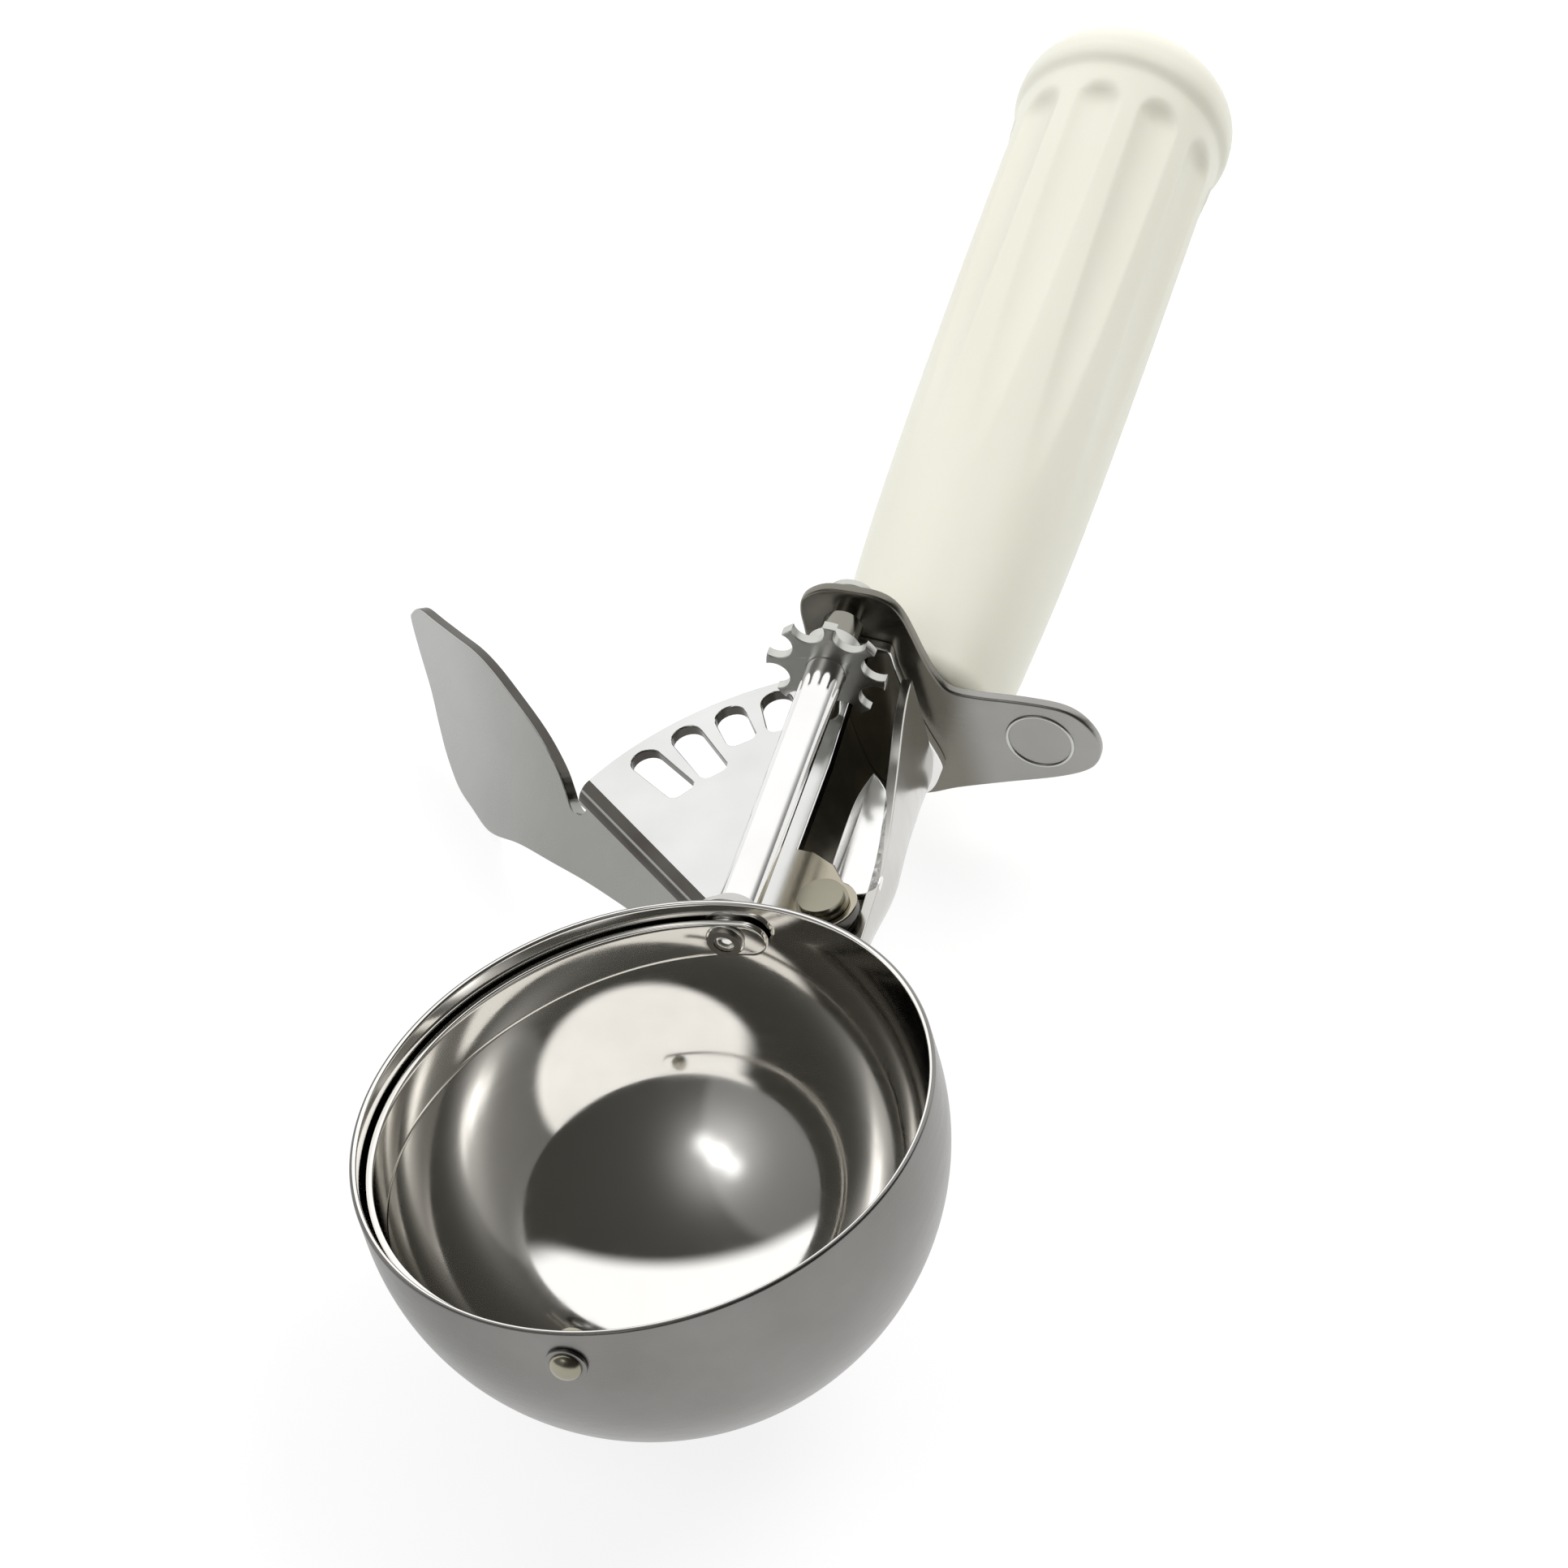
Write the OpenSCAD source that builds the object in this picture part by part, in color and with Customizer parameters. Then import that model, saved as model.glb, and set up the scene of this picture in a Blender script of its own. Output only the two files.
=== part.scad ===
// Lever ice cream scoop (disher): a hemispherical bowl with a sweeping blade that a
// thumb lever drives through a slotted plate and a pinion on the blade's shaft.
// Millimetres. The pieces are drawn in the tool's own axes, with the blade's axis along X,
// the bowl's mouth up and the bowl's centre at the origin, and placed() lays the tool on the
// table: it rests on the bowl, the handle's end and the corner of the thumb tab.

/* [Bowl] */
// Outside radius of the bowl
bowl_radius = 33.5; // [31:0.5:36]
// Sheet thickness of the bowl
bowl_wall = 0.8; // [0.6:0.1:1.2]
// Height of the straight band above the blade's axis
band_height = 4.6; // [3.6:0.2:7]

/* [Blade] */
// Width of the blade's strip halfway round the bowl
blade_width = 6.6; // [5.4:0.2:8]
// Width of the blade's strip at its pivots
blade_end_width = 5; // [4.8:0.1:5.4]
// Thickness of the blade's strip
blade_thickness = 0.8; // [0.6:0.1:1]
// Gap between the blade and the bowl's inner wall
blade_gap = 0.4; // [0.3:0.05:0.6]
// Radius of the front pivot pin's shank
pin_radius = 1.3; // [1.1:0.1:1.6]

/* [Shaft and pinion] */
// Radius of the blade's shaft
shaft_radius = 2.4; // [2.3:0.1:2.6]
// Radius of the shaft's journal in the flange
journal_radius = 1.8; // [1.5:0.1:2]
// Radial running clearance of every turning fit
running_fit = 0.06; // [0.03:0.01:0.09]
// Radius over the pinion's teeth
pinion_radius = 7.2; // [7.1:0.1:7.4]
// Thickness of the pinion
pinion_thickness = 1.3; // [1:0.1:1.6]

/* [Thumb lever] */
// Sheet thickness of the lever
lever_sheet = 1.5; // [1.3:0.1:1.6]
// Distance of the lever's pivot behind the bowl's wall
pivot_behind_bowl = 10.5; // [10:0.5:14]
// Distance of the lever's pivot to the right of the shaft
pivot_offset = 6.8; // [6.6:0.1:7]
// Radius of the slotted plate about the pivot
plate_radius = 39.5; // [39.3:0.1:40]
// Angle between neighbouring slots
slot_pitch = 9; // [8.9:0.1:9.1]
// Width of a slot at its outer end
slot_width = 3.8; // [3.6:0.1:3.9]
// Angle by which the thumb tab is folded down
fold_angle = 65; // [60:1:66]
// Radius of the lever's pivot pin
pivot_radius = 1.6; // [1.4:0.1:1.8]

/* [Neck and flange] */
// Sheet thickness of the neck channel
neck_sheet = 1.3; // [1.1:0.1:1.5]
// Thickness of the flange with the finger rest
flange_thickness = 1.4; // [1.2:0.1:1.8]

/* [Handle] */
// Length of the handle
handle_length = 118; // [105:1:130]
// Radius of the handle at the flange
handle_front_radius = 10.7; // [10:0.1:11.5]
// Radius of the handle in front of its rear bead
handle_rear_radius = 13.1; // [12:0.1:13.4]
// Radius of the handle's rear bead
bead_radius = 13.8; // [13.5:0.1:14.5]
// Depth of the finger flutes
flute_depth = 1.2; // [0.7:0.1:1.3]
// Number of flutes around the handle
flute_count = 10; // [8:1:10]

/* [Hidden] */
$fn = 96;
tiny = 0.01;
steel = [0.72, 0.72, 0.70];
dark_steel = [0.50, 0.49, 0.46];
bright_steel = [0.90, 0.90, 0.89];
ivory = [0.91, 0.90, 0.83];

bowl_inside = bowl_radius - bowl_wall;
blade_outside = bowl_inside - blade_gap;
blade_inside = blade_outside - blade_thickness;
// blade's ends past its pivots, its lean at rest, and its bosses, heads and rivets
blade_tail = 5;
blade_lean = 2.3;
lug_radius = 2.3;
lug_inset = 0.12;
lug_face = sqrt(blade_outside * blade_outside - lug_radius * lug_radius) - lug_inset;
lug_back = lug_face - blade_thickness;
tip_radius = 1.2;
tip_reach = 0.8;
hub_cap_radius = 2;
hub_cap_depth = 0.6;
knob_radius = 2.1;
knob_reach = 1.8;
head_radius = 1.9;
head_thickness = 1.3;
washer_thickness = 0.5;
washer_radius = 2.4;
end_ring_radius = 3.2;
end_ring_thickness = 1.2;
collar_radius = 3.4;
collar_length = 3;
pin_face = bowl_radius + washer_thickness + head_thickness;

// gear train: each slot that passes turns the pinion by one tooth
pinion_teeth = 8;
gap_radius = 2;
gap_centre = 6.7;
slot_count = 5;
gear_ratio = 360 / pinion_teeth / slot_pitch;
mesh_arm = 32;
pitch_radius = mesh_arm / gear_ratio;
mesh_angle = atan(pivot_offset / mesh_arm);
first_slot = 15.3;
tooth_lead = (first_slot - mesh_angle) * gear_ratio;
slot_inner = 28;
slot_outer = 38;
slot_taper = 0.82;
toe_angle = first_slot - 6.3;

pivot_x = bowl_radius + pivot_behind_bowl;
pinion_x = pivot_x + mesh_arm;
plate_top = -pitch_radius - 0.1;
plate_bottom = plate_top - lever_sheet;
wall_thickness = 1.4;
pad_thickness = 1.4;
pad_radius = 9.6;
pad_centre = [-3.6, -13.2];
neck_root = 9;
plate_clearance = 0.3;
wall_face = pivot_x + plate_radius + plate_clearance;
flange_face = wall_face + wall_thickness;
flange_back = flange_face + flange_thickness;
neck_top = plate_bottom - 1;
spigot_radius = shaft_radius + 0.8;
bushing_flange = 1.2;
bushing_end = bowl_radius + 2.6;
shaft_play = 0.2;
tail_reach = 1.9;

// fold line of the thumb tab, in the plate's own axes about the pivot
fold_start = [0, 16.3];
fold_direction = 46.7;
fold_length = 23.2;
tab_length = 67.6;
bend_shift = lever_sheet * tan(fold_angle / 2);

// lever's bearing and the return spring round it, places given from the pivot
hub_radius = 2.5;
hub_depth = 3.4;
shoulder_radius = 2.4;
coil_radius = 3;
wire_radius = 0.35;
coil_turns = 3;
coil_pitch = 0.8;
pushed_end = [1.84, 16.62];
held_end = [7.4, -0.6];
stud_place = [6.8, -2.2];
stud_radius = 0.9;
shoulder_top = plate_bottom - hub_depth - 0.1;
floor_z = neck_top - 6.2;

// outline of the flange, from the ear round the finger rest and back
flange_outline = [
    [5.9, 0.2], [5.2, 2.2], [3.6, 3.4], [1.6, 3.9], [-1.2, 3.5], [-4, 2.8], [-5.7, 1.6],
    [-6.7, -0.4], [-7.3, -3.4], [-7.9, -7.2], [-8.7, -10.4], [-9.9, -12.3], [-12.9, -13.2],
    [-18.7, -14], [-22.9, -15], [-25.1, -16.6], [-26.4, -19.1], [-26.6, -21.6],
    [-25.7, -23.7], [-23.8, -25.1], [-20, -26.2], [-13.7, -27.2], [-7.4, -28.3],
    [-3.6, -29.3], [0, -29.4], [4, -27.8], [6.4, -23.5], [7, -18], [6.6, -10], [6.1, -3]
];
handle_axis = [-2.5, -19];
handle_dome = 9.4;
handle_end = flange_back + handle_length;
bead_x = handle_end - handle_dome;
bead_length = 4;
flute_radius = 5;
flute_end = 19.7;
flute_run = 72;
flute_tilt = 0.5;
flute_phase = 8;
tang_radius = 2.8;
tang_length = 52;
tang_pin_x = flange_back + 40;

// how the tool lies: rolled onto the thumb tab's corner, pitched onto the handle's bead
rest_roll = 14.7;
axis_height = handle_axis[1] * cos(rest_roll) - handle_axis[0] * sin(rest_roll);
bead_reach = norm([bead_x, axis_height]);
rest_pitch = asin((bowl_radius - bead_radius) / bead_reach) + atan(axis_height / bead_x);
tip_y = fold_start[1] - pivot_offset + tab_length * sin(fold_direction) + 0.1;
footprint_x = (handle_end * cos(rest_pitch) + axis_height * sin(rest_pitch) - pin_face) / 2;
footprint_y = (tip_y * cos(rest_roll) + plate_top * sin(rest_roll) - bowl_radius) / 2;

// lays a piece on the table with the origin at the centre of the footprint
module placed() {
    translate([-footprint_x, -footprint_y, bowl_radius])
        rotate([0, rest_pitch, 0])
            rotate([-rest_roll, 0, 0])
                children();
}

// round bar along the blade's axis from one station to another
module bar(from, to, r) {
    translate([from, 0, 0])
        rotate([0, 90, 0])
            cylinder(r = r, h = to - from);
}

// flat plate across the blade's axis, its outline given as [y, z]
module cross_plate(from, thickness) {
    translate([from, 0, 0])
        rotate([90, 0, 90])
            linear_extrude(thickness)
                children();
}

// quarter disc with a band above it: the bowl's section on one side of its axis
module bowl_section(r, band) {
    intersection() {
        circle(r);
        translate([0, -r])
            square([r, r]);
    }
    square([r, band]);
}

module bowl() {
    color(steel)
        placed()
            difference() {
                rotate_extrude()
                    difference() {
                        bowl_section(bowl_radius, band_height);
                        bowl_section(bowl_inside, band_height + 1);
                    }
                bar(-bowl_radius - 1, 0, pin_radius);
                bar(0, bowl_radius + 1, spigot_radius);
            }
}

// curved pad that carries the neck on the back of the bowl
module bowl_bracket() {
    color(dark_steel)
        placed()
            intersection() {
                difference() {
                    sphere(bowl_radius + pad_thickness);
                    sphere(bowl_radius);
                }
                translate([0, pad_centre[0], pad_centre[1]])
                    rotate([0, 90, 0])
                        cylinder(r = pad_radius, h = bowl_radius + pad_thickness);
            }
}

// neck channel from the bowl (0) to the end wall (1): reach to the right and left of the
// shaft, depth below the rim, and how square the section is
function neck_right(t) = lookup(t, [[0, 12], [0.4, 11.3], [0.67, 9], [0.9, 6.8], [1, 6.2]]);
function neck_left(t) = lookup(t, [[0, 4.4], [0.5, 4], [1, 4.2]]);
function neck_depth(t) = lookup(t, [[0, 7.6], [0.3, 8.2], [0.67, 12.5], [1, 19.4]]);
function neck_round(t) = lookup(t, [[0, 1], [0.5, 1], [1, 0.7]]);
function neck_point(x, a, inset) =
    let(
        t = (x - bowl_radius) / (wall_face - bowl_radius),
        middle = (neck_left(t) - neck_right(t)) / 2,
        half = (neck_left(t) + neck_right(t)) / 2 - inset,
        depth = neck_depth(t) - inset,
        power = neck_round(t)
    )
    [
        x,
        middle - sign(cos(a)) * half * pow(abs(cos(a)), power),
        neck_top - depth * pow(abs(sin(a)), power)
    ];

// shell swept from ring to ring; each ring runs down the outside and back up the inside
module neck_shell(stations, steps) {
    count = 2 * steps + 2;
    points = [
        for (x = stations)
            for (i = [0:count - 1])
                i <= steps
                    ? neck_point(x, 180 * i / steps, 0)
                    : neck_point(x, 180 * (count - 1 - i) / steps, neck_sheet)
    ];
    last = len(stations) - 1;
    sides = [
        for (k = [0:last - 1])
            for (i = [0:count - 1])
                let(
                    j = (i + 1) % count,
                    a = k * count,
                    b = a + count
                )
                each [[a + i, b + i, b + j], [a + i, b + j, a + j]]
    ];
    caps = [
        for (i = [0:steps - 1])
            let(
                p = count - 1 - i,
                q = p - 1,
                e = last * count
            )
            each [
                [i, i + 1, q], [i, q, p],
                [e + i, e + q, e + i + 1], [e + i, e + p, e + q]
            ]
    ];
    polyhedron(points, concat(sides, caps), convexity = 6);
}

module neck_channel() {
    start = bowl_radius - neck_root;
    run = wall_face - start;
    color(bright_steel)
        placed()
            difference() {
                union() {
                    neck_shell([for (k = [0:12]) start + run * k / 12], 20);
                    cross_plate(wall_face, wall_thickness)
                        polygon([
                            [-0.8, -4], [-5.7, -5.5], [-6.3, -6.3], [-6.2, neck_top],
                            [-6.1, -19], [-4.9, -25.5], [-2.4, -28.2], [0.4, -28.2],
                            [2.9, -25.5], [4.1, -19], [4.2, neck_top], [2.4, -5.2]
                        ]);
                }
                sphere(bowl_radius + pad_thickness);
                pivot_post();
                spring_stud();
            }
}

module end_flange() {
    color(dark_steel)
        placed()
            difference() {
                cross_plate(flange_face, flange_thickness)
                    polygon(flange_outline);
                bar(flange_face - 1, flange_back + 1, journal_radius + running_fit);
            }
}

// strip bent round the inside of the bowl, with a boss at each pivot and rounded ends
module scraper_blade() {
    color(bright_steel)
        placed()
            difference() {
                rotate([-blade_lean, 0, 0])
                    union() {
                        intersection() {
                            difference() {
                                sphere(blade_outside);
                                sphere(blade_inside);
                            }
                            cross_plate(-bowl_radius, 2 * bowl_radius)
                                blade_outline();
                        }
                        bar(lug_back, lug_face, lug_radius);
                        bar(-lug_face, -lug_back, lug_radius);
                    }
                bar(-bowl_radius, 0, pin_radius + running_fit);
                bar(0, bowl_radius, tip_radius);
                bar(lug_face, bowl_radius, shaft_radius);
            }
}

// the blade seen along its axis: widest halfway round, rounded past the pivots
module blade_outline() {
    half = blade_end_width / 2;
    translate([half - blade_tail, 0])
        circle(half);
    polygon([
        [half - blade_tail, -half], [blade_outside + 1, -blade_width / 2],
        [blade_outside + 1, blade_width / 2], [half - blade_tail, half]
    ]);
}

// ring that holds the blade on the tip of the shaft
module blade_rear_hub() {
    color(steel)
        placed()
            difference() {
                bar(lug_back - hub_cap_depth, lug_back, hub_cap_radius);
                bar(lug_back - tip_reach, lug_back + 1, tip_radius);
            }
}

// rivet with a round head outside the bowl and a knob inside the blade
module front_pivot_pin() {
    color(bright_steel)
        placed() {
            bar(-bowl_radius - washer_thickness - tiny, shaft_play - lug_back + tiny, pin_radius);
            bar(-pin_face, -bowl_radius - washer_thickness, head_radius);
            bar(shaft_play - lug_back, knob_reach - lug_back, knob_radius);
        }
}

module front_washer() {
    color(steel)
        placed()
            difference() {
                bar(-bowl_radius - washer_thickness, -bowl_radius, washer_radius);
                bar(-bowl_radius - 2, 0, pin_radius);
            }
}

module blade_shaft() {
    color(bright_steel)
        placed() {
            bar(lug_face, wall_face - shaft_play, shaft_radius);
            bar(lug_back - tip_reach, lug_face + tiny, tip_radius);
            bar(wall_face - shaft_play - tiny, flange_back + tail_reach, journal_radius);
        }
}

// plain bearing on the bowl's back wall
module bowl_bushing() {
    color(bright_steel)
        placed()
            difference() {
                union() {
                    bar(bowl_inside - 0.1, bushing_end, spigot_radius);
                    bar(bowl_radius, bowl_radius + 0.9, spigot_radius + bushing_flange);
                }
                bar(0, bushing_end + 1, shaft_radius + running_fit);
            }
}

// ring riveted on the end of the shaft behind the flange
module shaft_end_washer() {
    color(steel)
        placed()
            difference() {
                bar(flange_back + shaft_play, flange_back + shaft_play + end_ring_thickness,
                    end_ring_radius);
                bar(flange_back, flange_back + tail_reach, journal_radius);
            }
}

// disc with round gaps cut between its teeth
module pinion() {
    color(steel)
        placed()
            difference() {
                bar(pinion_x - pinion_thickness / 2, pinion_x + pinion_thickness / 2, pinion_radius);
                bar(pinion_x - pinion_thickness, pinion_x + pinion_thickness, shaft_radius);
                for (i = [0:pinion_teeth - 1])
                    rotate([tooth_lead - 90 + (i + 0.5) * 360 / pinion_teeth, 0, 0])
                        translate([pinion_x - pinion_thickness, gap_centre, 0])
                            rotate([0, 90, 0])
                                cylinder(r = gap_radius, h = 2 * pinion_thickness);
            }
}

module pinion_collar() {
    start = pinion_x + pinion_thickness / 2;
    color(steel)
        placed()
            difference() {
                bar(start, start + collar_length, collar_radius);
                bar(start - 1, start + collar_length + 1, shaft_radius);
            }
}

// slotted plate, seen from above, about its pivot
module plate_outline() {
    difference() {
        union() {
            intersection() {
                circle(plate_radius);
                polygon([
                    fold_start + [-0.7, -0.7], [-3.4, 1.8], [3, -2.6], [6.4, 0.4], [8.4, 3.4],
                    [8.8, 5.5], [23, 5.5], [26, 26 * tan(toe_angle)], [44, 44 * tan(toe_angle)],
                    [42, 40], [17, 36.4],
                    fold_start + fold_length * [cos(fold_direction), sin(fold_direction)]
                ]);
            }
            circle(4);
        }
        circle(pivot_radius + running_fit);
        for (i = [0:slot_count - 1])
            rotate(first_slot + i * slot_pitch)
                slot();
    }
}

// slot that narrows towards the pivot and ends in a round
module slot() {
    half = slot_width / 2;
    polygon([
        [slot_inner, -half * slot_taper], [slot_outer - half, -half],
        [slot_outer - half, half], [slot_inner, half * slot_taper]
    ]);
    translate([slot_outer - half, 0])
        circle(half);
}

// thumb tab, flat, with its fold along the first axis
module tab_outline() {
    polygon([
        [-1, 0], [-1.4, 3.2], [1.5, 5.7], [13.7, 7.9], [21.9, 9.5], [29.3, 11.3],
        [36.7, 13.1], [42, 15.6], [44.4, 16.1], [48.1, 15.3], [51.5, 13.8], [55.1, 11.4],
        [58, 8.5], [60.7, 5.5], [64.6, 2.1], [67.6, -0.7], [67.6, -1.5], [65.9, -2.8],
        [62, -3.3], [57.1, -3.9], [53.2, -4.4], [49.5, -4.4], [45.1, -3.9], [36.9, -2.5],
        [31.5, -0.6], [28.8, 1.2], [27.6, 2.2], [26.2, 2.6], [24.8, 2], [24, 0.8], [23, 0]
    ]);
}

module thumb_lever() {
    color(bright_steel)
        placed()
            translate([pivot_x, -pivot_offset, plate_bottom]) {
                linear_extrude(lever_sheet)
                    plate_outline();
                translate([fold_start[0], fold_start[1], 0])
                    rotate([0, 0, fold_direction])
                        translate([0, -bend_shift, 0]) {
                            bend();
                            rotate([-fold_angle, 0, 0])
                                linear_extrude(lever_sheet)
                                    tab_outline();
                        }
            }
}

// quarter-round bend between the plate and the thumb tab
module bend() {
    rotate([0, 90, 0])
        intersection() {
            cylinder(r = lever_sheet, h = fold_length);
            translate([-lever_sheet, 0, 0])
                cube([lever_sheet, lever_sheet, fold_length]);
        }
}

// tube under the plate that turns on the pivot pin
module lever_bushing() {
    color(dark_steel)
        placed()
            translate([pivot_x, -pivot_offset, plate_bottom - hub_depth])
                difference() {
                    cylinder(r = hub_radius, h = hub_depth);
                    cylinder(r = pivot_radius + running_fit, h = hub_depth);
                }
}

module lever_pivot_pin() {
    color(bright_steel)
        placed() {
            translate([pivot_x, -pivot_offset, 0]) {
                translate([0, 0, floor_z])
                    cylinder(r = pivot_radius, h = plate_top + 1 - floor_z);
                translate([0, 0, plate_top + 0.65])
                    cylinder(r = 2.7, h = 0.8);
                translate([0, 0, floor_z - 3])
                    cylinder(r = shoulder_radius, h = 1);
            }
            pivot_post();
        }
}

// shouldered foot of the pivot pin, through the neck's floor
module pivot_post() {
    translate([pivot_x, -pivot_offset, floor_z - 2 - tiny])
        cylinder(r = pivot_radius, h = 4);
    translate([pivot_x, -pivot_offset, floor_z])
        cylinder(r = shoulder_radius, h = shoulder_top - floor_z);
}

module lever_washer() {
    color(steel)
        placed()
            translate([pivot_x, -pivot_offset, plate_top + 0.1])
                difference() {
                    cylinder(r = 3.1, h = 0.5);
                    cylinder(r = pivot_radius, h = 0.5);
                }
}

// points along the spring's wire: moving leg, coil, fixed leg
function spring_route() =
    let(
        steps = 48,
        start = atan2(pushed_end[1], pushed_end[0]) + acos(coil_radius / norm(pushed_end)),
        end = atan2(held_end[1], held_end[0]) - acos(coil_radius / norm(held_end)),
        turn = end + 360 * coil_turns - start,
        top = plate_bottom - wire_radius - 0.25,
        bottom = top - coil_pitch * turn / 360
    )
    concat(
        [[pushed_end[0], pushed_end[1], top]],
        [
            for (i = [0:steps])
                [
                    coil_radius * cos(start + turn * i / steps),
                    coil_radius * sin(start + turn * i / steps),
                    top + (bottom - top) * i / steps
                ]
        ],
        [[held_end[0], held_end[1], bottom]]
    );

// tube of six sides swept along a route
module wire(route, r) {
    sides = 6;
    last = len(route) - 1;
    points = [
        for (k = [0:last])
            let(
                ahead = route[min(k + 1, last)] - route[max(k - 1, 0)],
                along = ahead / norm(ahead),
                across = cross(along, [0, 0, 1]) / norm(cross(along, [0, 0, 1])),
                upward = cross(across, along)
            )
            for (i = [0:sides - 1])
                route[k] + r * (cos(i * 360 / sides) * across + sin(i * 360 / sides) * upward)
    ];
    skin = [
        for (k = [0:last - 1])
            for (i = [0:sides - 1])
                let(
                    j = (i + 1) % sides,
                    a = k * sides,
                    b = a + sides
                )
                each [[a + i, a + j, b + j], [a + i, b + j, b + i]]
    ];
    caps = [
        [for (i = [sides - 1:-1:0]) i],
        [for (i = [0:sides - 1]) last * sides + i]
    ];
    polyhedron(points, concat(skin, caps), convexity = 8);
}

module return_spring() {
    color(dark_steel)
        placed()
            translate([pivot_x, -pivot_offset, 0])
                wire(spring_route(), wire_radius);
}

// stud in the neck's floor that the spring's fixed leg pushes on
module spring_stud() {
    translate([pivot_x + stud_place[0], -pivot_offset + stud_place[1], floor_z - 0.6])
        cylinder(r = stud_radius, h = 6);
}

module spring_anchor() {
    color(steel)
        placed()
            spring_stud();
}

// handle, drawn along its own axis from the flange to the dome
function handle_radius(t) =
    handle_front_radius + (handle_rear_radius - handle_front_radius) * (1 - pow(1 - t, 3.2));

module handle_grip() {
    body = handle_length - handle_dome - bead_length;
    color(ivory)
        placed()
            translate([flange_back, handle_axis[0], handle_axis[1]])
                rotate([0, 90, 0])
                    difference() {
                        rotate_extrude()
                            polygon(concat(
                                [[0, 0], [handle_front_radius - 2.4, 0]],
                                [for (a = [30, 60]) [
                                    handle_front_radius - 2.4 + 2.2 * sin(a),
                                    3 - 3 * cos(a)
                                ]],
                                [for (k = [1:14]) [handle_radius(k / 14), 3 + (body - 3) * k / 14]],
                                [
                                    [bead_radius - 0.2, body + 1.2],
                                    [bead_radius, body + 2.4]
                                ],
                                [for (a = [0:15:75]) [
                                    bead_radius * cos(a),
                                    body + bead_length + handle_dome * sin(a)
                                ]],
                                [[0, handle_length]]
                            ));
                        cylinder(r = tang_radius, h = tang_length);
                        for (i = [0:flute_count - 1])
                            rotate([0, 0, flute_phase + i * 360 / flute_count])
                                flute();
                    }
}

// one flute: a round-bottomed groove that ends in a dimple near the bead
module flute() {
    translate([
        handle_rear_radius + flute_radius - flute_depth, 0, handle_length - flute_end
    ]) {
        sphere(flute_radius);
        rotate([0, -flute_tilt, 0])
            translate([0, 0, -flute_run])
                cylinder(r = flute_radius, h = flute_run);
    }
}

module handle_tang() {
    color(steel)
        placed()
            translate([0, handle_axis[0], handle_axis[1]])
                difference() {
                    bar(flange_back, flange_back + tang_length, tang_radius);
                    translate([tang_pin_x, 0, -tang_radius - 1])
                        cylinder(r = 1.2, h = 2 * tang_radius + 2);
                }
}

// pin across the tang that the handle's plastic is moulded round
module tang_lock_pin() {
    color(steel)
        placed()
            translate([tang_pin_x, handle_axis[0], handle_axis[1] - tang_radius])
                cylinder(r = 1.2, h = 2 * tang_radius);
}

bowl();
bowl_bracket();
neck_channel();
end_flange();
scraper_blade();
blade_rear_hub();
front_pivot_pin();
front_washer();
blade_shaft();
bowl_bushing();
shaft_end_washer();
pinion();
pinion_collar();
thumb_lever();
lever_bushing();
lever_pivot_pin();
lever_washer();
return_spring();
spring_anchor();
handle_grip();
handle_tang();
tang_lock_pin();
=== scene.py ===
"""Dressed model of a lever ice cream scoop lying on a table.

Pieces are drawn in millimetres in the tool's own axes, from the centre of the bowl: X runs along
the blade's shaft to the handle, Y to the thumb tab's side and Z out of the bowl's mouth.
"""
import math

import bmesh
import bpy
from mathutils import Matrix, Vector


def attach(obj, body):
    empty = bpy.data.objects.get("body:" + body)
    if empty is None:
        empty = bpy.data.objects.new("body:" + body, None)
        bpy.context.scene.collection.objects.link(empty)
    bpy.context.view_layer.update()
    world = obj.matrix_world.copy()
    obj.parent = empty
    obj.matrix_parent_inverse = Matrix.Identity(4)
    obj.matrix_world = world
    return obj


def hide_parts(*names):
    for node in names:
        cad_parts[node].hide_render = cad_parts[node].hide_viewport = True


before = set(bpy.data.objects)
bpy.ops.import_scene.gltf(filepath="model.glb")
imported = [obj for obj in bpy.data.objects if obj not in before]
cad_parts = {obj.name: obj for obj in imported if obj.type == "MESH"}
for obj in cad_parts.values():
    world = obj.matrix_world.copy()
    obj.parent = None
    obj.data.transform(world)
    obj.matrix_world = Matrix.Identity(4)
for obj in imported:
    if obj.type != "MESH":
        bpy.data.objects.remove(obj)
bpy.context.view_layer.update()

MM = 0.001
TURN = 2 * math.pi
QUARTER = math.pi / 2

# ---------------------------------------------------------------- bowl, mm
BOWL_R = 33.5
BOWL_WALL = 0.8
BAND = 4.6
BOWL_IN = BOWL_R - BOWL_WALL
PAD_R = 9.6
PAD_T = 1.4
PAD_CENTRE = Vector((0, -3.6, -13.2))

# ---------------------------------------------------------------- blade and shaft, mm
BLADE_OUT = BOWL_IN - 0.4
BLADE_T = 0.8
BLADE_IN = BLADE_OUT - BLADE_T
BLADE_W = 6.6
BLADE_END_W = 5.0
BLADE_TAIL = 5.0
BLADE_LEAN = 2.3
BLADE_EDGE = 0.22
LUG_R = 2.3
LUG_FACE = math.sqrt(BLADE_OUT**2 - LUG_R**2) - 0.12
LUG_BACK = LUG_FACE - BLADE_T
SHAFT_R = 2.4
JOURNAL_R = 1.8
TIP_R = 1.2
RIVET_OUT = BOWL_R + 1.8

# ---------------------------------------------------------------- thumb lever, mm and degrees
PIVOT_OFFSET = 6.8
PIVOT = Vector((44.0, -PIVOT_OFFSET, 0.0))
PLATE_R = 39.5
PLATE_TOP = -6.5
SHEET = 1.5
PLATE_BOTTOM = PLATE_TOP - SHEET
HUB_R = 4
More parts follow.
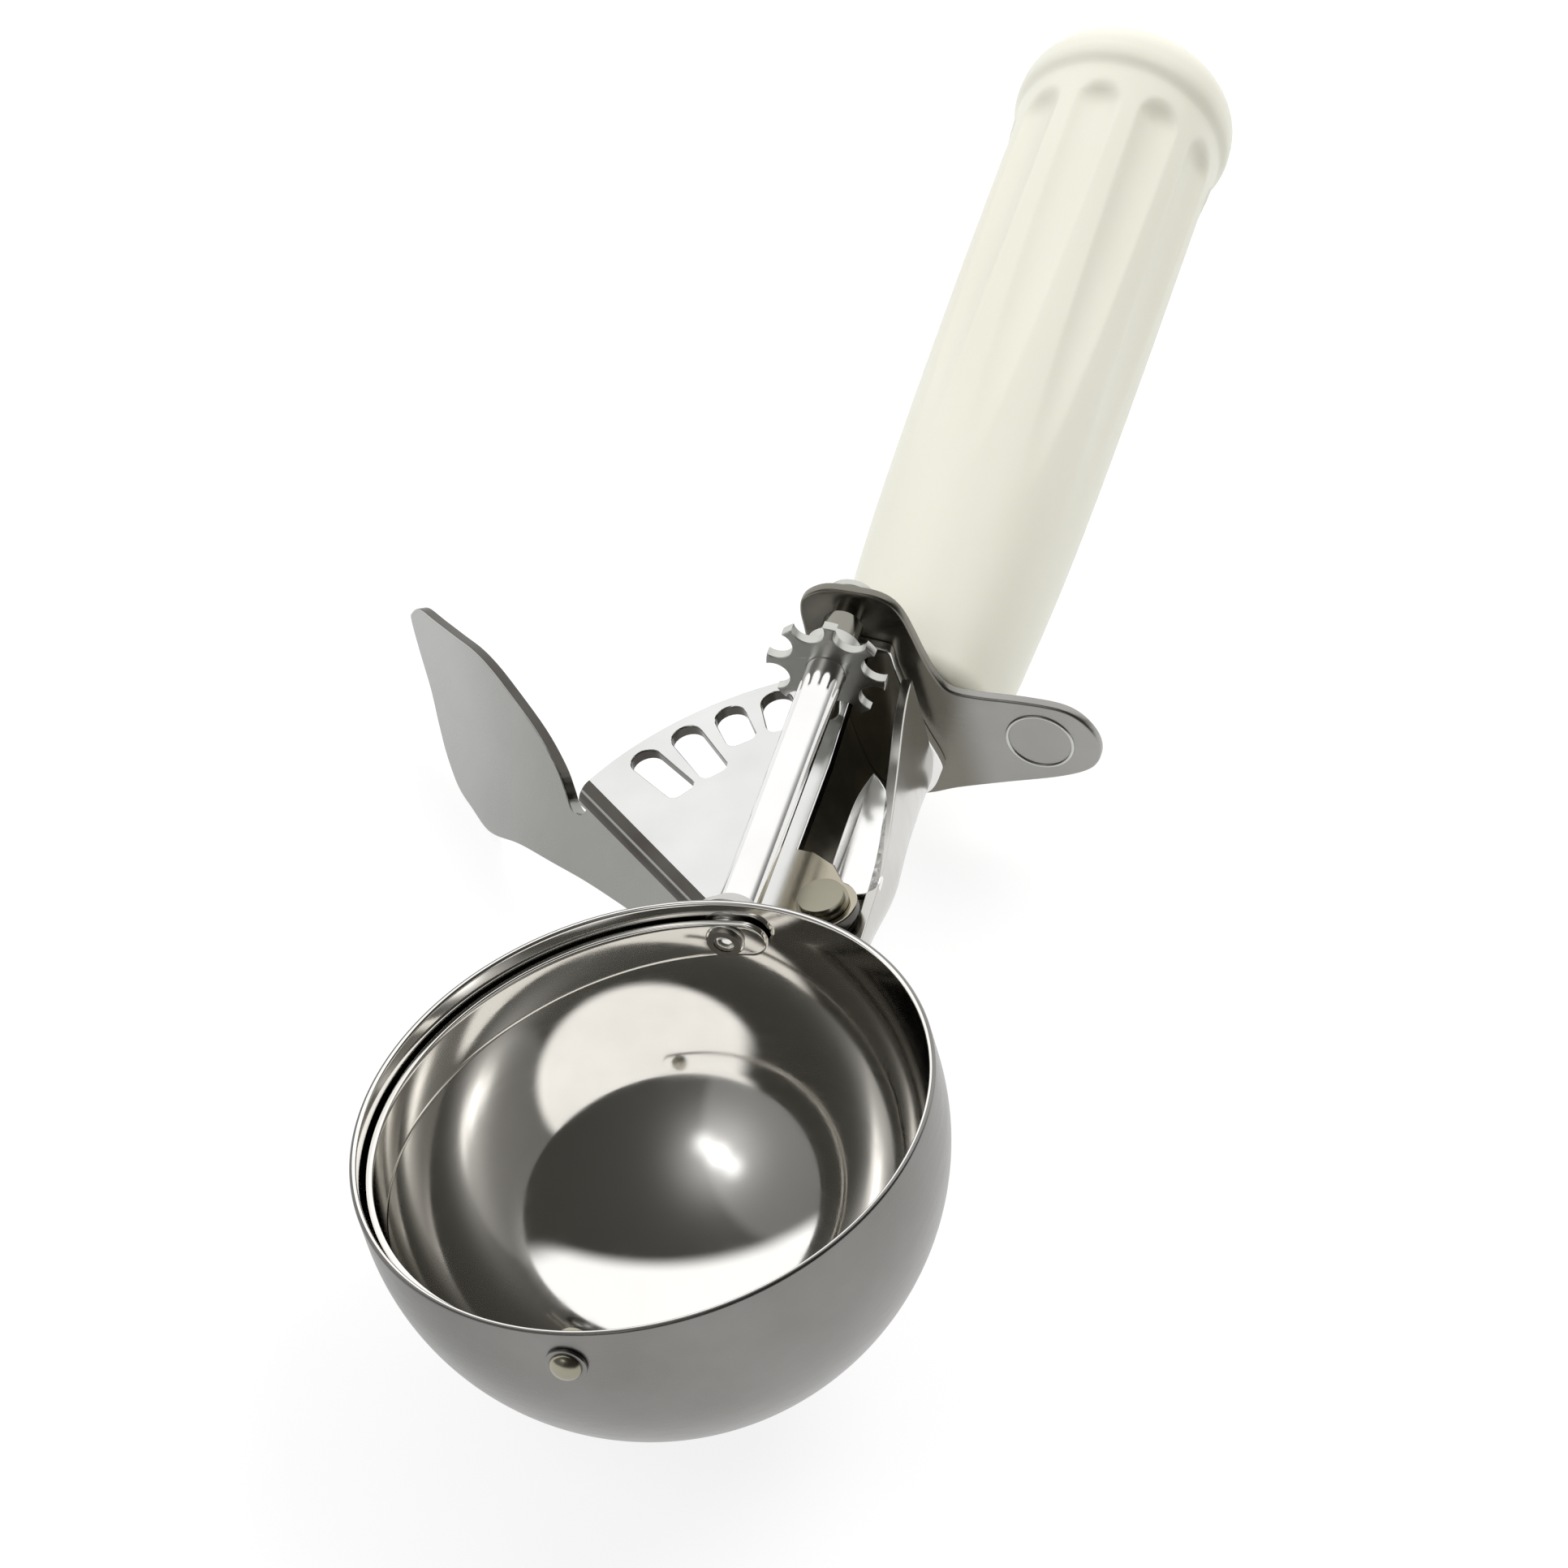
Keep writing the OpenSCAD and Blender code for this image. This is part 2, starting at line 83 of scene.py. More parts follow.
# slots: angle of the first from the shaft, their ends from the pivot, and their shape
SLOT_FIRST = 15.3
SLOT_PITCH = 9.0
SLOTS = 5
SHORT_SLOTS = 3
SLOT_IN = 28.2
SLOT_IN_SHORT = 31.2
SLOT_OUT = 38.0
SLOT_W = 3.8
SLOT_TAPER = 0.95
SLOT_CORNER = 1.1
# the toothed edge runs from the toe to the heel
TOE = SLOT_FIRST - 6.3
HEEL = 64.5
# the fold between plate and tab: where it starts, its direction, its angle and its bend
FOLD_START = Vector((0.0, 16.3))
FOLD_DIR = math.radians(46.7)
FOLD = math.radians(65.0)
BEND_R = 0.9
BEND_N = BEND_R + SHEET / 2
BEND_V = -SHEET * math.tan(FOLD / 2) - BEND_R * math.tan(FOLD / 2)
BEND_LENGTH = BEND_N * FOLD
# beyond this place along the fold the tab has a free end beside the plate
FREE_U = 28.0
FREE_V = -5.0

# ---------------------------------------------------------------- pinion, mm
MESH_ARM = 32.0
PINION_X = PIVOT.x + MESH_ARM
PINION_R = 7.2
PINION_T = 1.3
TEETH = 8
GAP_R = 2.0
GAP_CENTRE = 6.7

# ---------------------------------------------------------------- neck and flange, mm
WALL_FACE = PIVOT.x + PLATE_R + 0.3
WALL_T = 1.4
FLANGE_FACE = WALL_FACE + WALL_T
FLANGE_T = 1.4
FLANGE_BACK = FLANGE_FACE + FLANGE_T
NECK_TOP = PLATE_BOTTOM - 1.0
NECK_SHEET = 1.3
# from the bowl (0) to the end wall (1): half widths, depth and how round the section is
NECK_RIGHT = [(0, 12), (0.4, 11.3), (0.67, 9), (0.9, 6.8), (1, 6.2)]
NECK_LEFT = [(0, 4.4), (0.5, 4), (1, 4.2)]
NECK_DEPTH = [(0, 7.6), (0.3, 8.2), (0.67, 12.5), (1, 19.4)]
NECK_ROUND = [(0, 1), (0.25, 0.8), (0.4, 0.5), (0.8, 0.5), (1, 0.6)]

# ---------------------------------------------------------------- handle, mm and degrees
HANDLE_L = 118.0
HANDLE_FRONT = 10.7
HANDLE_REAR = 13.1
BEAD_R = 13.8
HANDLE_Y = -2.5
HANDLE_Z = -19.0
HANDLE_DOME = 9.4
BEAD_L = 4.0
BEAD_RISE = 2.4
BEAD_CROWN = 0.05
BODY_SWELL = 3.2
FRONT_ROUND = 3
FRONT_INSET = 2.4
FRONT_CURL = 2.35
# flutes: how far the round ends lie from the rear, how they tilt out forward, and the core that
# they never reach
FLUTES = 10
FLUTE_PHASE = 8.0
FLUTE_DEPTH = 1.2
FLUTE_END = 19.7
FLUTE_TILT = math.radians(0.5)
FLUTE_R = 5.0
FLUTE_CORE = 5
FLUTE_BLEND = 0.3

# ---------------------------------------------------------------- how the tool lies, mm and radians
# rolled onto the tab's corner, and pitched so that the bowl and the bead both lie on the table
ROLL = math.radians(14.7)
# the bowl's centre in the part's frame
CENTRE = Vector((-84.5559, -10.8617, 33.5))
handle_depth = HANDLE_Z * math.cos(ROLL) - HANDLE_Y * math.sin(ROLL)
bead_x = FLANGE_BACK + HANDLE_L - HANDLE_DOME
drop = math.asin((BOWL_R - BEAD_R) / math.hypot(bead_x, handle_depth))
PITCH = drop + math.atan(handle_depth / bead_x)
LAID = Matrix.Rotation(PITCH, 4, "Y") @ Matrix.Rotation(-ROLL, 4, "X")
LAY = Matrix.Scale(MM, 4) @ Matrix.Translation(CENTRE) @ LAID

# ---------------------------------------------------------------- light
# a white wall past the handle that ends at a corner, in a room that is dim elsewhere; the soft
# edges are cosines from the direction
ROOM_WHITE = (1.25, 1.25, 1.25)
ROOM_DARK = (0.052, 0.050, 0.044)
WALL_AT = (0.970, 0.243, 0.0)
WALL_EDGE = (0.10, 0.24)
CORNER_AT = (0.45, 0.89, 0.0)
CORNER_EDGE = (-0.42, -0.22)
# a grey panel low on the tab's side
PANEL_AT = (-0.591, 0.730, 0.342)
PANEL_EDGE = (0.75, 0.81)
PANEL_GREY = 0.11
# a wide lamp overhead with its halo, and a weak light beyond the bowl: direction, half width in
# degrees and strength
GLOWS = (
    ((-0.608, 0.309, 0.731), 4, 1.6),
    ((-0.668, 0.192, 0.719), 4, 0.9),
    ((-0.537, 0.420, 0.731), 4, 0.9),
    ((-0.608, 0.309, 0.731), 15, 0.5),
    ((-0.667, 0.578, 0.470), 45, 0.08),
)
# lamps: name, place, size and power, metres and watts
LAMPS = (
    ("key", (-0.55, 0.45, 0.9), 0.5, 1.3),
    ("fill", (0.55, -0.45, 1.0), 0.8, 5.5),
)
LAMP_AIM = Vector((0.0, 0.0, 0.02))
# white table: half size in metres, tone and glow
FLOOR_HALF = 4
FLOOR_TONE = 0.25
FLOOR_LIFT = 0.845

# ---------------------------------------------------------------- camera, metres
PHOTO_PIXELS = 1932
FOCAL_PIXELS = 12000
SENSOR = 36
CAMERA_AT = (-0.766028, -0.195998, 0.856476)
CAMERA_RIGHT = Vector((0.2617969, -0.9649592, 0.0177811))
CAMERA_UP = Vector((0.7057314, 0.2039697, 0.6784832))
CAMERA_BACK = Vector((-0.6583354, -0.1650761, 0.7344007))


# ---------------------------------------------------------------- drawing helpers
def spaced(start, stop, steps, skip=0):
    """Equally spaced values from start to stop, both included, less the first ones skipped."""
    return [start + (stop - start) * k / steps for k in range(skip, steps + 1)]


def round_point(radius, angle):
    """Place on a circle about the origin."""
    return (radius * math.cos(angle), radius * math.sin(angle))


def lookup(t, table):
    """Value at t in a table of (place, value), straight between its rows."""
    if t <= table[0][0]:
        return table[0][1]
    for (a, u), (b, v) in zip(table, table[1:]):
        if t <= b:
            return u + (v - u) * (t - a) / (b - a)
    return table[-1][1]


def soft_lookup(t, table, reach=0.09):
    """The same, averaged over a stretch round t, so that the table's corners turn soft."""
    return sum(lookup(t + reach * k / 6, table) for k in range(-6, 7)) / 13


def smooth_min(a, b, k):
    """The lesser of two values, blended where they differ by less than k."""
    h = max(k - abs(a - b), 0) / k
    return min(a, b) - h * h * k / 4


def smooth_loop(points, sharp=(), steps=6, closed=True):
    """Catmull-Rom curve through points; the corners whose index is in sharp stay sharp."""
    n = len(points)
    out = []
    for i in range(n if closed else n - 1):
        p1 = Vector(points[i])
        p2 = Vector(points[(i + 1) % n])
        p0 = Vector(points[(i - 1) % n]) if closed or i else p1
        p3 = Vector(points[(i + 2) % n]) if closed or i + 2 < n else p2
        if i in sharp:
            p0 = p1
        if (i + 1) % n in sharp:
            p3 = p2
        for k in range(steps):
            t = k / steps
            out.append(tuple(0.5 * (
                2 * p1 + (p2 - p0) * t + (2 * p0 - 5 * p1 + 4 * p2 - p3) * t * t
                + (3 * p1 - p0 - 3 * p2 + p3) * t**3
            )))
    if not closed:
        out.append(tuple(points[-1]))
    return out


def rounded(r, z0, z1, edge, inner=0.0, steps=4):
    """Profile of (radius, z) of a disc or ring with rounded edges."""
    bend = spaced(0, QUARTER, steps)
    outer = [(r - edge * (1 - math.sin(a)), z0 + edge * (1 - math.cos(a))) for a in bend]
    outer += [(r - edge * (1 - math.cos(a)), z1 - edge * (1 - math.sin(a))) for a in bend]
    if not inner:
        return [(0, z0), *outer, (0, z1)]
    low = [(inner, z0 + edge)]
    low += [(inner + edge * (1 - math.cos(a)), z0 + edge * (1 - math.sin(a))) for a in bend[1:]]
    high = [(inner + edge * (1 - math.sin(a)), z1 - edge * (1 - math.cos(a))) for a in bend]
    return [*low, *outer, *high, low[0]]


# ---------------------------------------------------------------- mesh helpers
def cleaned(mesh, weld):
    """Joins points closer than weld and turns all faces outwards."""
    bm = bmesh.new()
    bm.from_mesh(mesh)
    bmesh.ops.remove_doubles(bm, verts=bm.verts, dist=weld)
    bmesh.ops.recalc_face_normals(bm, faces=bm.faces)
    bm.to_mesh(mesh)
    bm.free()
    return mesh


def mesh_from(verts, faces):
    mesh = bpy.data.meshes.new("mesh")
    mesh.from_pydata([tuple(v) for v in verts], [], faces)
    mesh.validate()
    return cleaned(mesh, 1e-5)


def joined(*meshes):
    bm = bmesh.new()
    for mesh in meshes:
        bm.from_mesh(mesh)
    out = bpy.data.meshes.new("mesh")
    bm.to_mesh(out)
    bm.free()
    return out


def grid(rows):
    """Points and faces of a skin over rows of points, each row a closed ring."""
    m = len(rows[0])
    verts = [p for row in rows for p in row]
    faces = []
    for i in range(len(rows) - 1):
        for j in range(m):
            a = i * m + j
            b = i * m + (j + 1) % m
            faces.append((a, b, b + m, a + m))
    return verts, faces


def lathe(profile, segments=96):
    """Solid of revolution about Z of a profile of (radius, z)."""
    rows = []
    for r, z in profile:
        rows.append([(*round_point(r, TURN * j / segments), z) for j in range(segments)])
    return mesh_from(*grid(rows))


def along_x(mesh, x=0.0, y=0.0, z=0.0):
    """Turns a piece drawn about Z so that its axis runs along X, from x on."""
    mesh.transform(Matrix(((0, 0, 1, x), (0, 1, 0, y), (-1, 0, 0, z), (0, 0, 0, 1))))
    return mesh


def across_x(mesh, x):
    """Stands a plate drawn in XY across the shaft: its X becomes Y and its Y becomes Z."""
    mesh.transform(Matrix(((0, 0, 1, x), (1, 0, 0, 0), (0, 1, 0, 0), (0, 0, 0, 1))))
    return mesh


def plate(loops, thickness, edge):
    """Flat plate from z = 0 to its thickness, with rounded edges, from outlines in XY."""
    curve = bpy.data.curves.new("outline", "CURVE")
    curve.dimensions = "2D"
    curve.fill_mode = "BOTH"
    for loop in loops:
        spline = curve.splines.new("POLY")
        spline.points.add(len(loop) - 1)
        for point, (x, y) in zip(spline.points, loop):
            point.co = (x, y, 0, 1)
        spline.use_cyclic_u = True
    curve.extrude = thickness / 2 - edge
    curve.bevel_depth = edge
    curve.bevel_resolution = 2
    curve.offset = -edge
    holder = bpy.data.objects.new("outline", curve)
    bpy.context.scene.collection.objects.link(holder)
    graph = bpy.context.evaluated_depsgraph_get()
    mesh = bpy.data.meshes.new_from_object(holder.evaluated_get(graph))
    bpy.data.objects.remove(holder)
    bpy.data.curves.remove(curve)
    cleaned(mesh, 1e-4)
    mesh.transform(Matrix.Translation((0, 0, thickness / 2)))
    mesh.materials.clear()
    return mesh


def round_edges(thing, width, segments):
    bevel = thing.modifiers.new("edge", "BEVEL")
    bevel.width = width * MM
    bevel.segments = segments
    bevel.limit_method = "ANGLE"
    bevel.angle_limit = math.radians(50)


def piece(name, mesh, body, materials, nodes=(), angle=35.0, weighted=True):
    """One shown piece: its mesh, shading, body, and the CAD nodes that it stands for."""
    mesh.transform(LAY)
    mesh.name = name
    for material in materials:
        mesh.materials.append(material)
    mesh.shade_smooth()
    mesh.set_sharp_from_angle(angle=math.radians(angle))
    thing = bpy.data.objects.new(name, mesh)
    bpy.context.scene.collection.objects.link(thing)
    if weighted:
        normals = thing.modifiers.new("normals", "WEIGHTED_NORMAL")
        normals.keep_sharp = True
    if nodes:
        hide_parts(*nodes)
    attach(thing, body)
    return thing


# ---------------------------------------------------------------- shader helpers
def new_material(name):
    material = bpy.data.materials.new(name)
    material.use_nodes = True
    tree = material.node_tree
    return material, tree, tree.nodes["Principled BSDF"]


def tool_axes(tree, scale=(1, 1, 1)):
    """Object coordinates turned into the tool's axes and stretched."""
    coords = tree.nodes.new("ShaderNodeTexCoord")
    turn = tree.nodes.new("ShaderNodeMapping")
    turn.inputs["Rotation"].default_value = (ROLL, 0, 0)
    tree.links.new(coords.outputs["Object"], turn.inputs["Vector"])
    stretch = tree.nodes.new("ShaderNodeMapping")
    stretch.inputs["Scale"].default_value = scale
    tree.links.new(turn.outputs["Vector"], stretch.inputs["Vector"])
    return stretch.outputs["Vector"]


def feed(tree, socket, value):
    """Gives a socket a constant, or links another node's output to it."""
    if isinstance(value, (int, float, tuple)):
        socket.default_value = value
    else:
        tree.links.new(value, socket)


def maths(tree, operation, first, second=0.0):
    node = tree.nodes.new("ShaderNodeMath")
    node.operation = operation
    feed(tree, node.inputs[0], first)
    feed(tree, node.inputs[1], second)
    return node.outputs[0]


def mixed(tree, kind, share, first, second):
    """Mixes two colours, or tints one by the other."""
    node = tree.nodes.new("ShaderNodeMix")
    node.data_type = "RGBA"
    node.blend_type = kind
    feed(tree, node.inputs["Factor"], share)
    feed(tree, node.inputs["A"], first)
    feed(tree, node.inputs["B"], second)
    return node.outputs["Result"]


def between(tree, value, low, high, bottom=0.0, top=1.0, kind="LINEAR"):
    """Goes from bottom to top as a value goes from low to high."""
    node = tree.nodes.new("ShaderNodeMapRange")
    node.interpolation_type = kind
    node.inputs["From Min"].default_value = low
    node.inputs["From Max"].default_value = high
    node.inputs["To Min"].default_value = bottom
    node.inputs["To Max"].default_value = top
    tree.links.new(value, node.inputs["Value"])
    return node.outputs["Result"]


def spread(tree, fac, low, high):
    """Stretches a noise, which stays near its middle, so that it runs from low to high."""
    return between(tree, fac, 0.3, 0.7, low, high)


def softly(tree, value, low, high, top=1.0):
    """The same from 0 to top, with a slow start and end."""
    return between(tree, value, low, high, 0.0, top, "SMOOTHSTEP")


def noise(tree, vector, scale, detail=4.0, rough=0.55):
    tex = tree.nodes.new("ShaderNodeTexNoise")
    tex.inputs["Scale"].default_value = scale
    tex.inputs["Detail"].default_value = detail
    tex.inputs["Roughness"].default_value = rough
    tree.links.new(vector, tex.inputs["Vector"])
    return tex.outputs["Fac"]


def ramp(tree, fac, low, high):
    """Colour ramp between two rows of (place, colour)."""
    node = tree.nodes.new("ShaderNodeValToRGB")
    for element, (at, colour) in zip(node.color_ramp.elements, (low, high)):
        element.position = at
        element.color = (*colour, 1)
    tree.links.new(fac, node.inputs["Fac"])
    return node.outputs["Color"]


def bump(tree, fac, bsdf, strength, distance):
    node = tree.nodes.new("ShaderNodeBump")
    node.inputs["Strength"].default_value = strength
    node.inputs["Distance"].default_value = distance
    tree.links.new(fac, node.inputs["Height"])
    tree.links.new(node.outputs["Normal"], bsdf.inputs["Normal"])


# ---------------------------------------------------------------- materials
def steel(name, light, dark, rough, grain, fineness, relief, smudge=0.03):
    """Stainless steel: directional grain, cloudy smudges and slight colour variation."""
    material, tree, bsdf = new_material(name)
    bsdf.inputs["Metallic"].default_value = 1.0
    cloud = noise(tree, tool_axes(tree), scale=70, detail=3)
    tree.links.new(ramp(tree, cloud, (0.3, dark), (0.7, light)), bsdf.inputs["Base Color"])
    fine = noise(tree, tool_axes(tree, grain), fineness, detail=5, rough=0.6)
    rubbed = spread(tree, fine, rough - smudge, rough + smudge)
    worn = maths(tree, "ADD", rubbed, spread(tree, cloud, -smudge, smudge))
    tree.links.new(worn, bsdf.inputs["Roughness"])
    bump(tree, fine, bsdf, relief, distance=0.00005)
    return material


def beyond_plane(tree, axis, start, stop):
    """Goes from 0 to 1 between two places, mm, along the tool's X, Y or Z."""
    axes = tree.nodes.new("ShaderNodeSeparateXYZ")
    tree.links.new(tool_axes(tree), axes.inputs["Vector"])
    offset = (Matrix.Rotation(ROLL, 3, "X") @ CENTRE)["XYZ".index(axis)]
    return softly(tree, axes.outputs[axis], (start + offset) * MM, (stop + offset) * MM)


def paint_shade(material, places, tone):
    """Paints shade into a steel beyond the given planes: its colour is multiplied by a darker tone
    there, standing in for the shade and dark reflections of the parts beside it.
    """
    tree = material.node_tree
    bsdf = tree.nodes["Principled BSDF"]
    colour = bsdf.inputs["Base Color"].links[0].from_socket
    share = 1.0
    for axis, start, stop in places:
        share = maths(tree, "MULTIPLY", beyond_plane(tree, axis, start, stop), share)
    shaded = mixed(tree, "MULTIPLY", share, colour, (*tone, 1))
    tree.links.new(shaded, bsdf.inputs["Base Color"])


def ivory():
    """Moulded plastic, slightly cloudy, with a fine peel."""
    material, tree, bsdf = new_material("moulded_ivory")
    cloud = noise(tree, tool_axes(tree, (0.25, 1, 1)), scale=60, detail=3)
    tone = ramp(tree, cloud, (0.25, (0.85, 0.835, 0.70)), (0.75, (0.90, 0.89, 0.78)))
    tree.links.new(tone, bsdf.inputs["Base Color"])
    peel = noise(tree, tool_axes(tree), scale=900, detail=2)
    tree.links.new(spread(tree, peel, 0.30, 0.40), bsdf.inputs["Roughness"])
    bump(tree, peel, bsdf, strength=0.06, distance=0.00008)
    bsdf.inputs["Subsurface Weight"].default_value = 0.15
    bsdf.inputs["Subsurface Radius"].default_value = (1.0, 0.9, 0.6)
    bsdf.inputs["Subsurface Scale"].default_value = 0.002
    bsdf.inputs["IOR"].default_value = 1.5
    return material


satin = steel(
    "satin_steel", light=(0.34, 0.335, 0.32), dark=(0.29, 0.285, 0.27),
    rough=0.30, grain=(1, 1, 9), fineness=260, relief=0.10,
)
# The flange's steel is the satin steel with painted shade: its upper part round the shaft (from
# tool Y -13 mm, full past -8 mm) is made darker for the dark reflections there.
flange_satin_painted_shade = steel(
    "flange_satin_painted_shade", light=(0.34, 0.335, 0.32), dark=(0.29, 0.285, 0.27),
    rough=0.30, grain=(1, 1, 9), fineness=260, relief=0.10,
)
paint_shade(flange_satin_painted_shade, [("Y", -13, -8)], (0.62, 0.60, 0.54))
# The bowl's outside: satin steel with painted shade, made darker on the tab's side (from tool Y 3
# mm, full at 27 mm).
bowl_satin_painted_shade = steel(
    "bowl_satin_painted_shade", light=(0.25, 0.245, 0.235), dark=(0.21, 0.205, 0.195),
    rough=0.30, grain=(1, 1, 9), fineness=260, relief=0.10,
)
paint_shade(bowl_satin_painted_shade, [("Y", 3, 27)], (0.60, 0.60, 0.60))
# The tab is the same sheet as the plate: its darker grey is painted shade for the dim table that it
# mirrors, and it is painted darker still towards its end nearer the bowl (full below tool Y 29 mm,
# none past 57 mm).
tab_satin_painted_shade = steel(
    "tab_satin_painted_shade", light=(0.45, 0.45, 0.44), dark=(0.41, 0.41, 0.40),
    rough=0.28, grain=(3, 1, 1), fineness=240, relief=0.10,
)
paint_shade(tab_satin_painted_shade, [("Y", 57, 29)], (0.64, 0.64, 0.62))
mirror = steel(
    "mirror_steel", light=(0.85, 0.835, 0.805), dark=(0.80, 0.785, 0.755),
    rough=0.07, grain=(1, 1, 5), fineness=160, relief=0.02, smudge=0.02,
)
# The plate's steel, with a painted reflection: near the pivot's hub (tool X below 52.4 mm, Y below
# -1.8 mm) it is made darker and brown, like the dark parts it mirrors there.
plate_steel_painted_reflection = steel(
    "plate_steel_painted_reflection", light=(0.70, 0.70, 0.69), dark=(0.62, 0.62, 0.61),
    rough=0.16, grain=(2, 1, 1), fineness=90, relief=0.04, smudge=0.04,
)
paint_shade(plate_steel_painted_reflection, [("X", 53.4, 52.4), ("Y", -0.6, -1.8)], (0.62, 0.57, 0.46))
polished = steel(
    "polished_steel", light=(0.84, 0.835, 0.82), dark=(0.76, 0.755, 0.74),
    rough=0.12, grain=(4, 1, 1), fineness=220, relief=0.03,
)
# The shaft's steel is the polished steel with painted shade: from the pinion on towards the flange
# it is made much darker, for the flange's shade.
shaft_steel_painted_shade = steel(
    "shaft_steel_painted_shade", light=(0.84, 0.835, 0.82), dark=(0.76, 0.755, 0.74),
    rough=0.12, grain=(4, 1, 1), fineness=220, relief=0.03,
)
paint_shade(shaft_steel_painted_shade, [("X", PINION_X - 0.5, PINION_X + 1.5)], (0.30, 0.29, 0.26))
fittings = steel(
    "turned_steel", light=(0.56, 0.55, 0.53), dark=(0.46, 0.45, 0.43),
    rough=0.25, grain=(6, 1, 1), fineness=300, relief=0.08, smudge=0.04,
)
pinion_steel = steel(
    "pinion_steel", light=(0.58, 0.58, 0.55), dark=(0.48, 0.48, 0.45),
    rough=0.32, grain=(1, 1, 1), fineness=300, relief=0.08, smudge=0.05,
)
# Darker, brownish steel for the pivots' pins, bushing and washers: its brown and dark are painted
# shade and dark reflection.
pivot_steel_painted_shade = steel(
    "pivot_steel_painted_shade", light=(0.36, 0.34, 0.27), dark=(0.26, 0.245, 0.19),
    rough=0.22, grain=(1, 1, 1), fineness=300, relief=0.08, smudge=0.05,
)
# Near-black steel for the fold's two lines and the lever's cut edges: painted shadow in the bend
# and painted dark reflection on the edges.
painted_shade_steel = steel(
    "painted_shade_steel", light=(0.10, 0.095, 0.085), dark=(0.06, 0.055, 0.05),
    rough=0.22, grain=(3, 1, 1), fineness=240, relief=0.05,
)
# Steel of the trough's outside, darker than the polished steel: painted dark reflection of the
# flange and of the shaded table beside the neck.
neck_steel_painted_shade = steel(
    "neck_steel_painted_shade", light=(0.56, 0.55, 0.52), dark=(0.46, 0.45, 0.42),
    rough=0.20, grain=(4, 1, 1), fineness=160, relief=0.03,
)
trough_steel = steel(
    "trough_steel", light=(0.62, 0.59, 0.51), dark=(0.44, 0.415, 0.35),
    rough=0.42, grain=(4, 1, 1), fineness=120, relief=0.10, smudge=0.08,
)
dark_steel = steel(
    "spring_steel", light=(0.30, 0.285, 0.26), dark=(0.20, 0.19, 0.17),
    rough=0.34, grain=(1, 1, 1), fineness=400, relief=0.08, smudge=0.05,
)
ivory_plastic = ivory()


# ---------------------------------------------------------------- bowl
def bowl_mesh():
    """Satin outside (material 0) and polished inside (material 1), met at the rim's top."""
    lip = BOWL_WALL / 2
    segments = 240
    down_to_up = spaced(0, QUARTER, 60)
    outer = [(BOWL_R * math.sin(a), -BOWL_R * math.cos(a)) for a in down_to_up]
    outer.append((BOWL_R, BAND - lip))
    rim = [
        (BOWL_R - lip + lip * math.cos(a), BAND - lip + lip * math.sin(a))
        for a in spaced(0, math.pi, 10)[1:-1]
    ]
    inner = [(BOWL_IN, BAND - lip)]
    inner += [(BOWL_IN * math.sin(a), -BOWL_IN * math.cos(a)) for a in reversed(down_to_up)]
    outside = lathe(outer + rim[:5], segments)
    bm = bmesh.new()
    bm.from_mesh(outside)
    count = len(bm.faces)
    bm.from_mesh(lathe(rim[4:] + inner, segments))
    for k, face in enumerate(bm.faces):
        face.material_index = 1 if k >= count else 0
    mesh = bpy.data.meshes.new("bowl")
    bm.to_mesh(mesh)
    bm.free()
    return cleaned(mesh, 1e-4)


piece(
    "bowl_shell", bowl_mesh(), "frame", [bowl_satin_painted_shade, mirror], ["bowl"],
    weighted=False,
)


# ---------------------------------------------------------------- blade
def strip_stations():
    """Angles along the strip with its half width there: round ends, widest halfway."""
    half = BLADE_END_W / 2
    middle = (BLADE_OUT + BLADE_IN) / 2
    flank = half - BLADE_TAIL
    stations = []
    for t in spaced(0, QUARTER, 18, 2):
        stations.append((math.asin((flank - half * math.cos(t)) / middle), half * math.sin(t)))
    for a in spaced(stations[-1][0], QUARTER, 72, 1):
        grow = (middle * math.sin(a) - flank) / (BLADE_OUT + 1 - flank)
        stations.append((a, half + (BLADE_W / 2 - half) * grow))
    return stations + [(math.pi - a, w) for a, w in reversed(stations[:-1])]


def strip_section(half):
    """Closed section of (radius, height) across the strip, with rounded edges."""
    e = min(BLADE_EDGE, half * 0.6)
    flat = half - e
    face = [(BLADE_OUT, h) for h in spaced(-flat, flat, 12)]
    corner = [
        (BLADE_OUT - e + e * math.cos(a), flat + e * math.sin(a)) for a in spaced(0, QUARTER, 3, 1)
    ]
    corner += [
        (BLADE_IN + e - e * math.sin(a), flat + e * math.cos(a))
        for a in spaced(0, QUARTER, 3)[:-1]
    ]
    back = [(BLADE_IN, -h) for r, h in face]
    return face + corner + back + [(r, -h) for r, h in reversed(corner)]


def strip_mesh():
    """Band bent round the inside of the bowl, each point on a sphere."""
    rows = []
    for a, half in strip_stations():
        row = []
        for r, h in strip_section(half):
            ring = r * math.sqrt(1 - (h / r) ** 2)
            row.append((ring * math.cos(a), ring * math.sin(a), h))
        rows.append(row)
    verts, faces = grid(rows)
    m = len(rows[0])
    faces.append(tuple(range(m)))
    faces.append(tuple(range(len(verts) - 1, len(verts) - 1 - m, -1)))
    return mesh_from(verts, faces)


def boss_mesh(turned):
    """Raised boss on the blade round its pivot."""
    disc = along_x(lathe(rounded(LUG_R, 0, BLADE_T - 0.2, edge=0.1), 64), LUG_BACK)
    disc.transform(Matrix.Rotation(turned, 4, "Z"))
    return disc


def blade_mesh():
    mesh = joined(strip_mesh(), boss_mesh(0), boss_mesh(math.pi))
    mesh.transform(Matrix.Rotation(math.radians(-BLADE_LEAN), 4, "X"))
    return mesh


piece("blade_strip", blade_mesh(), "blade", [mirror], ["scraper_blade"])


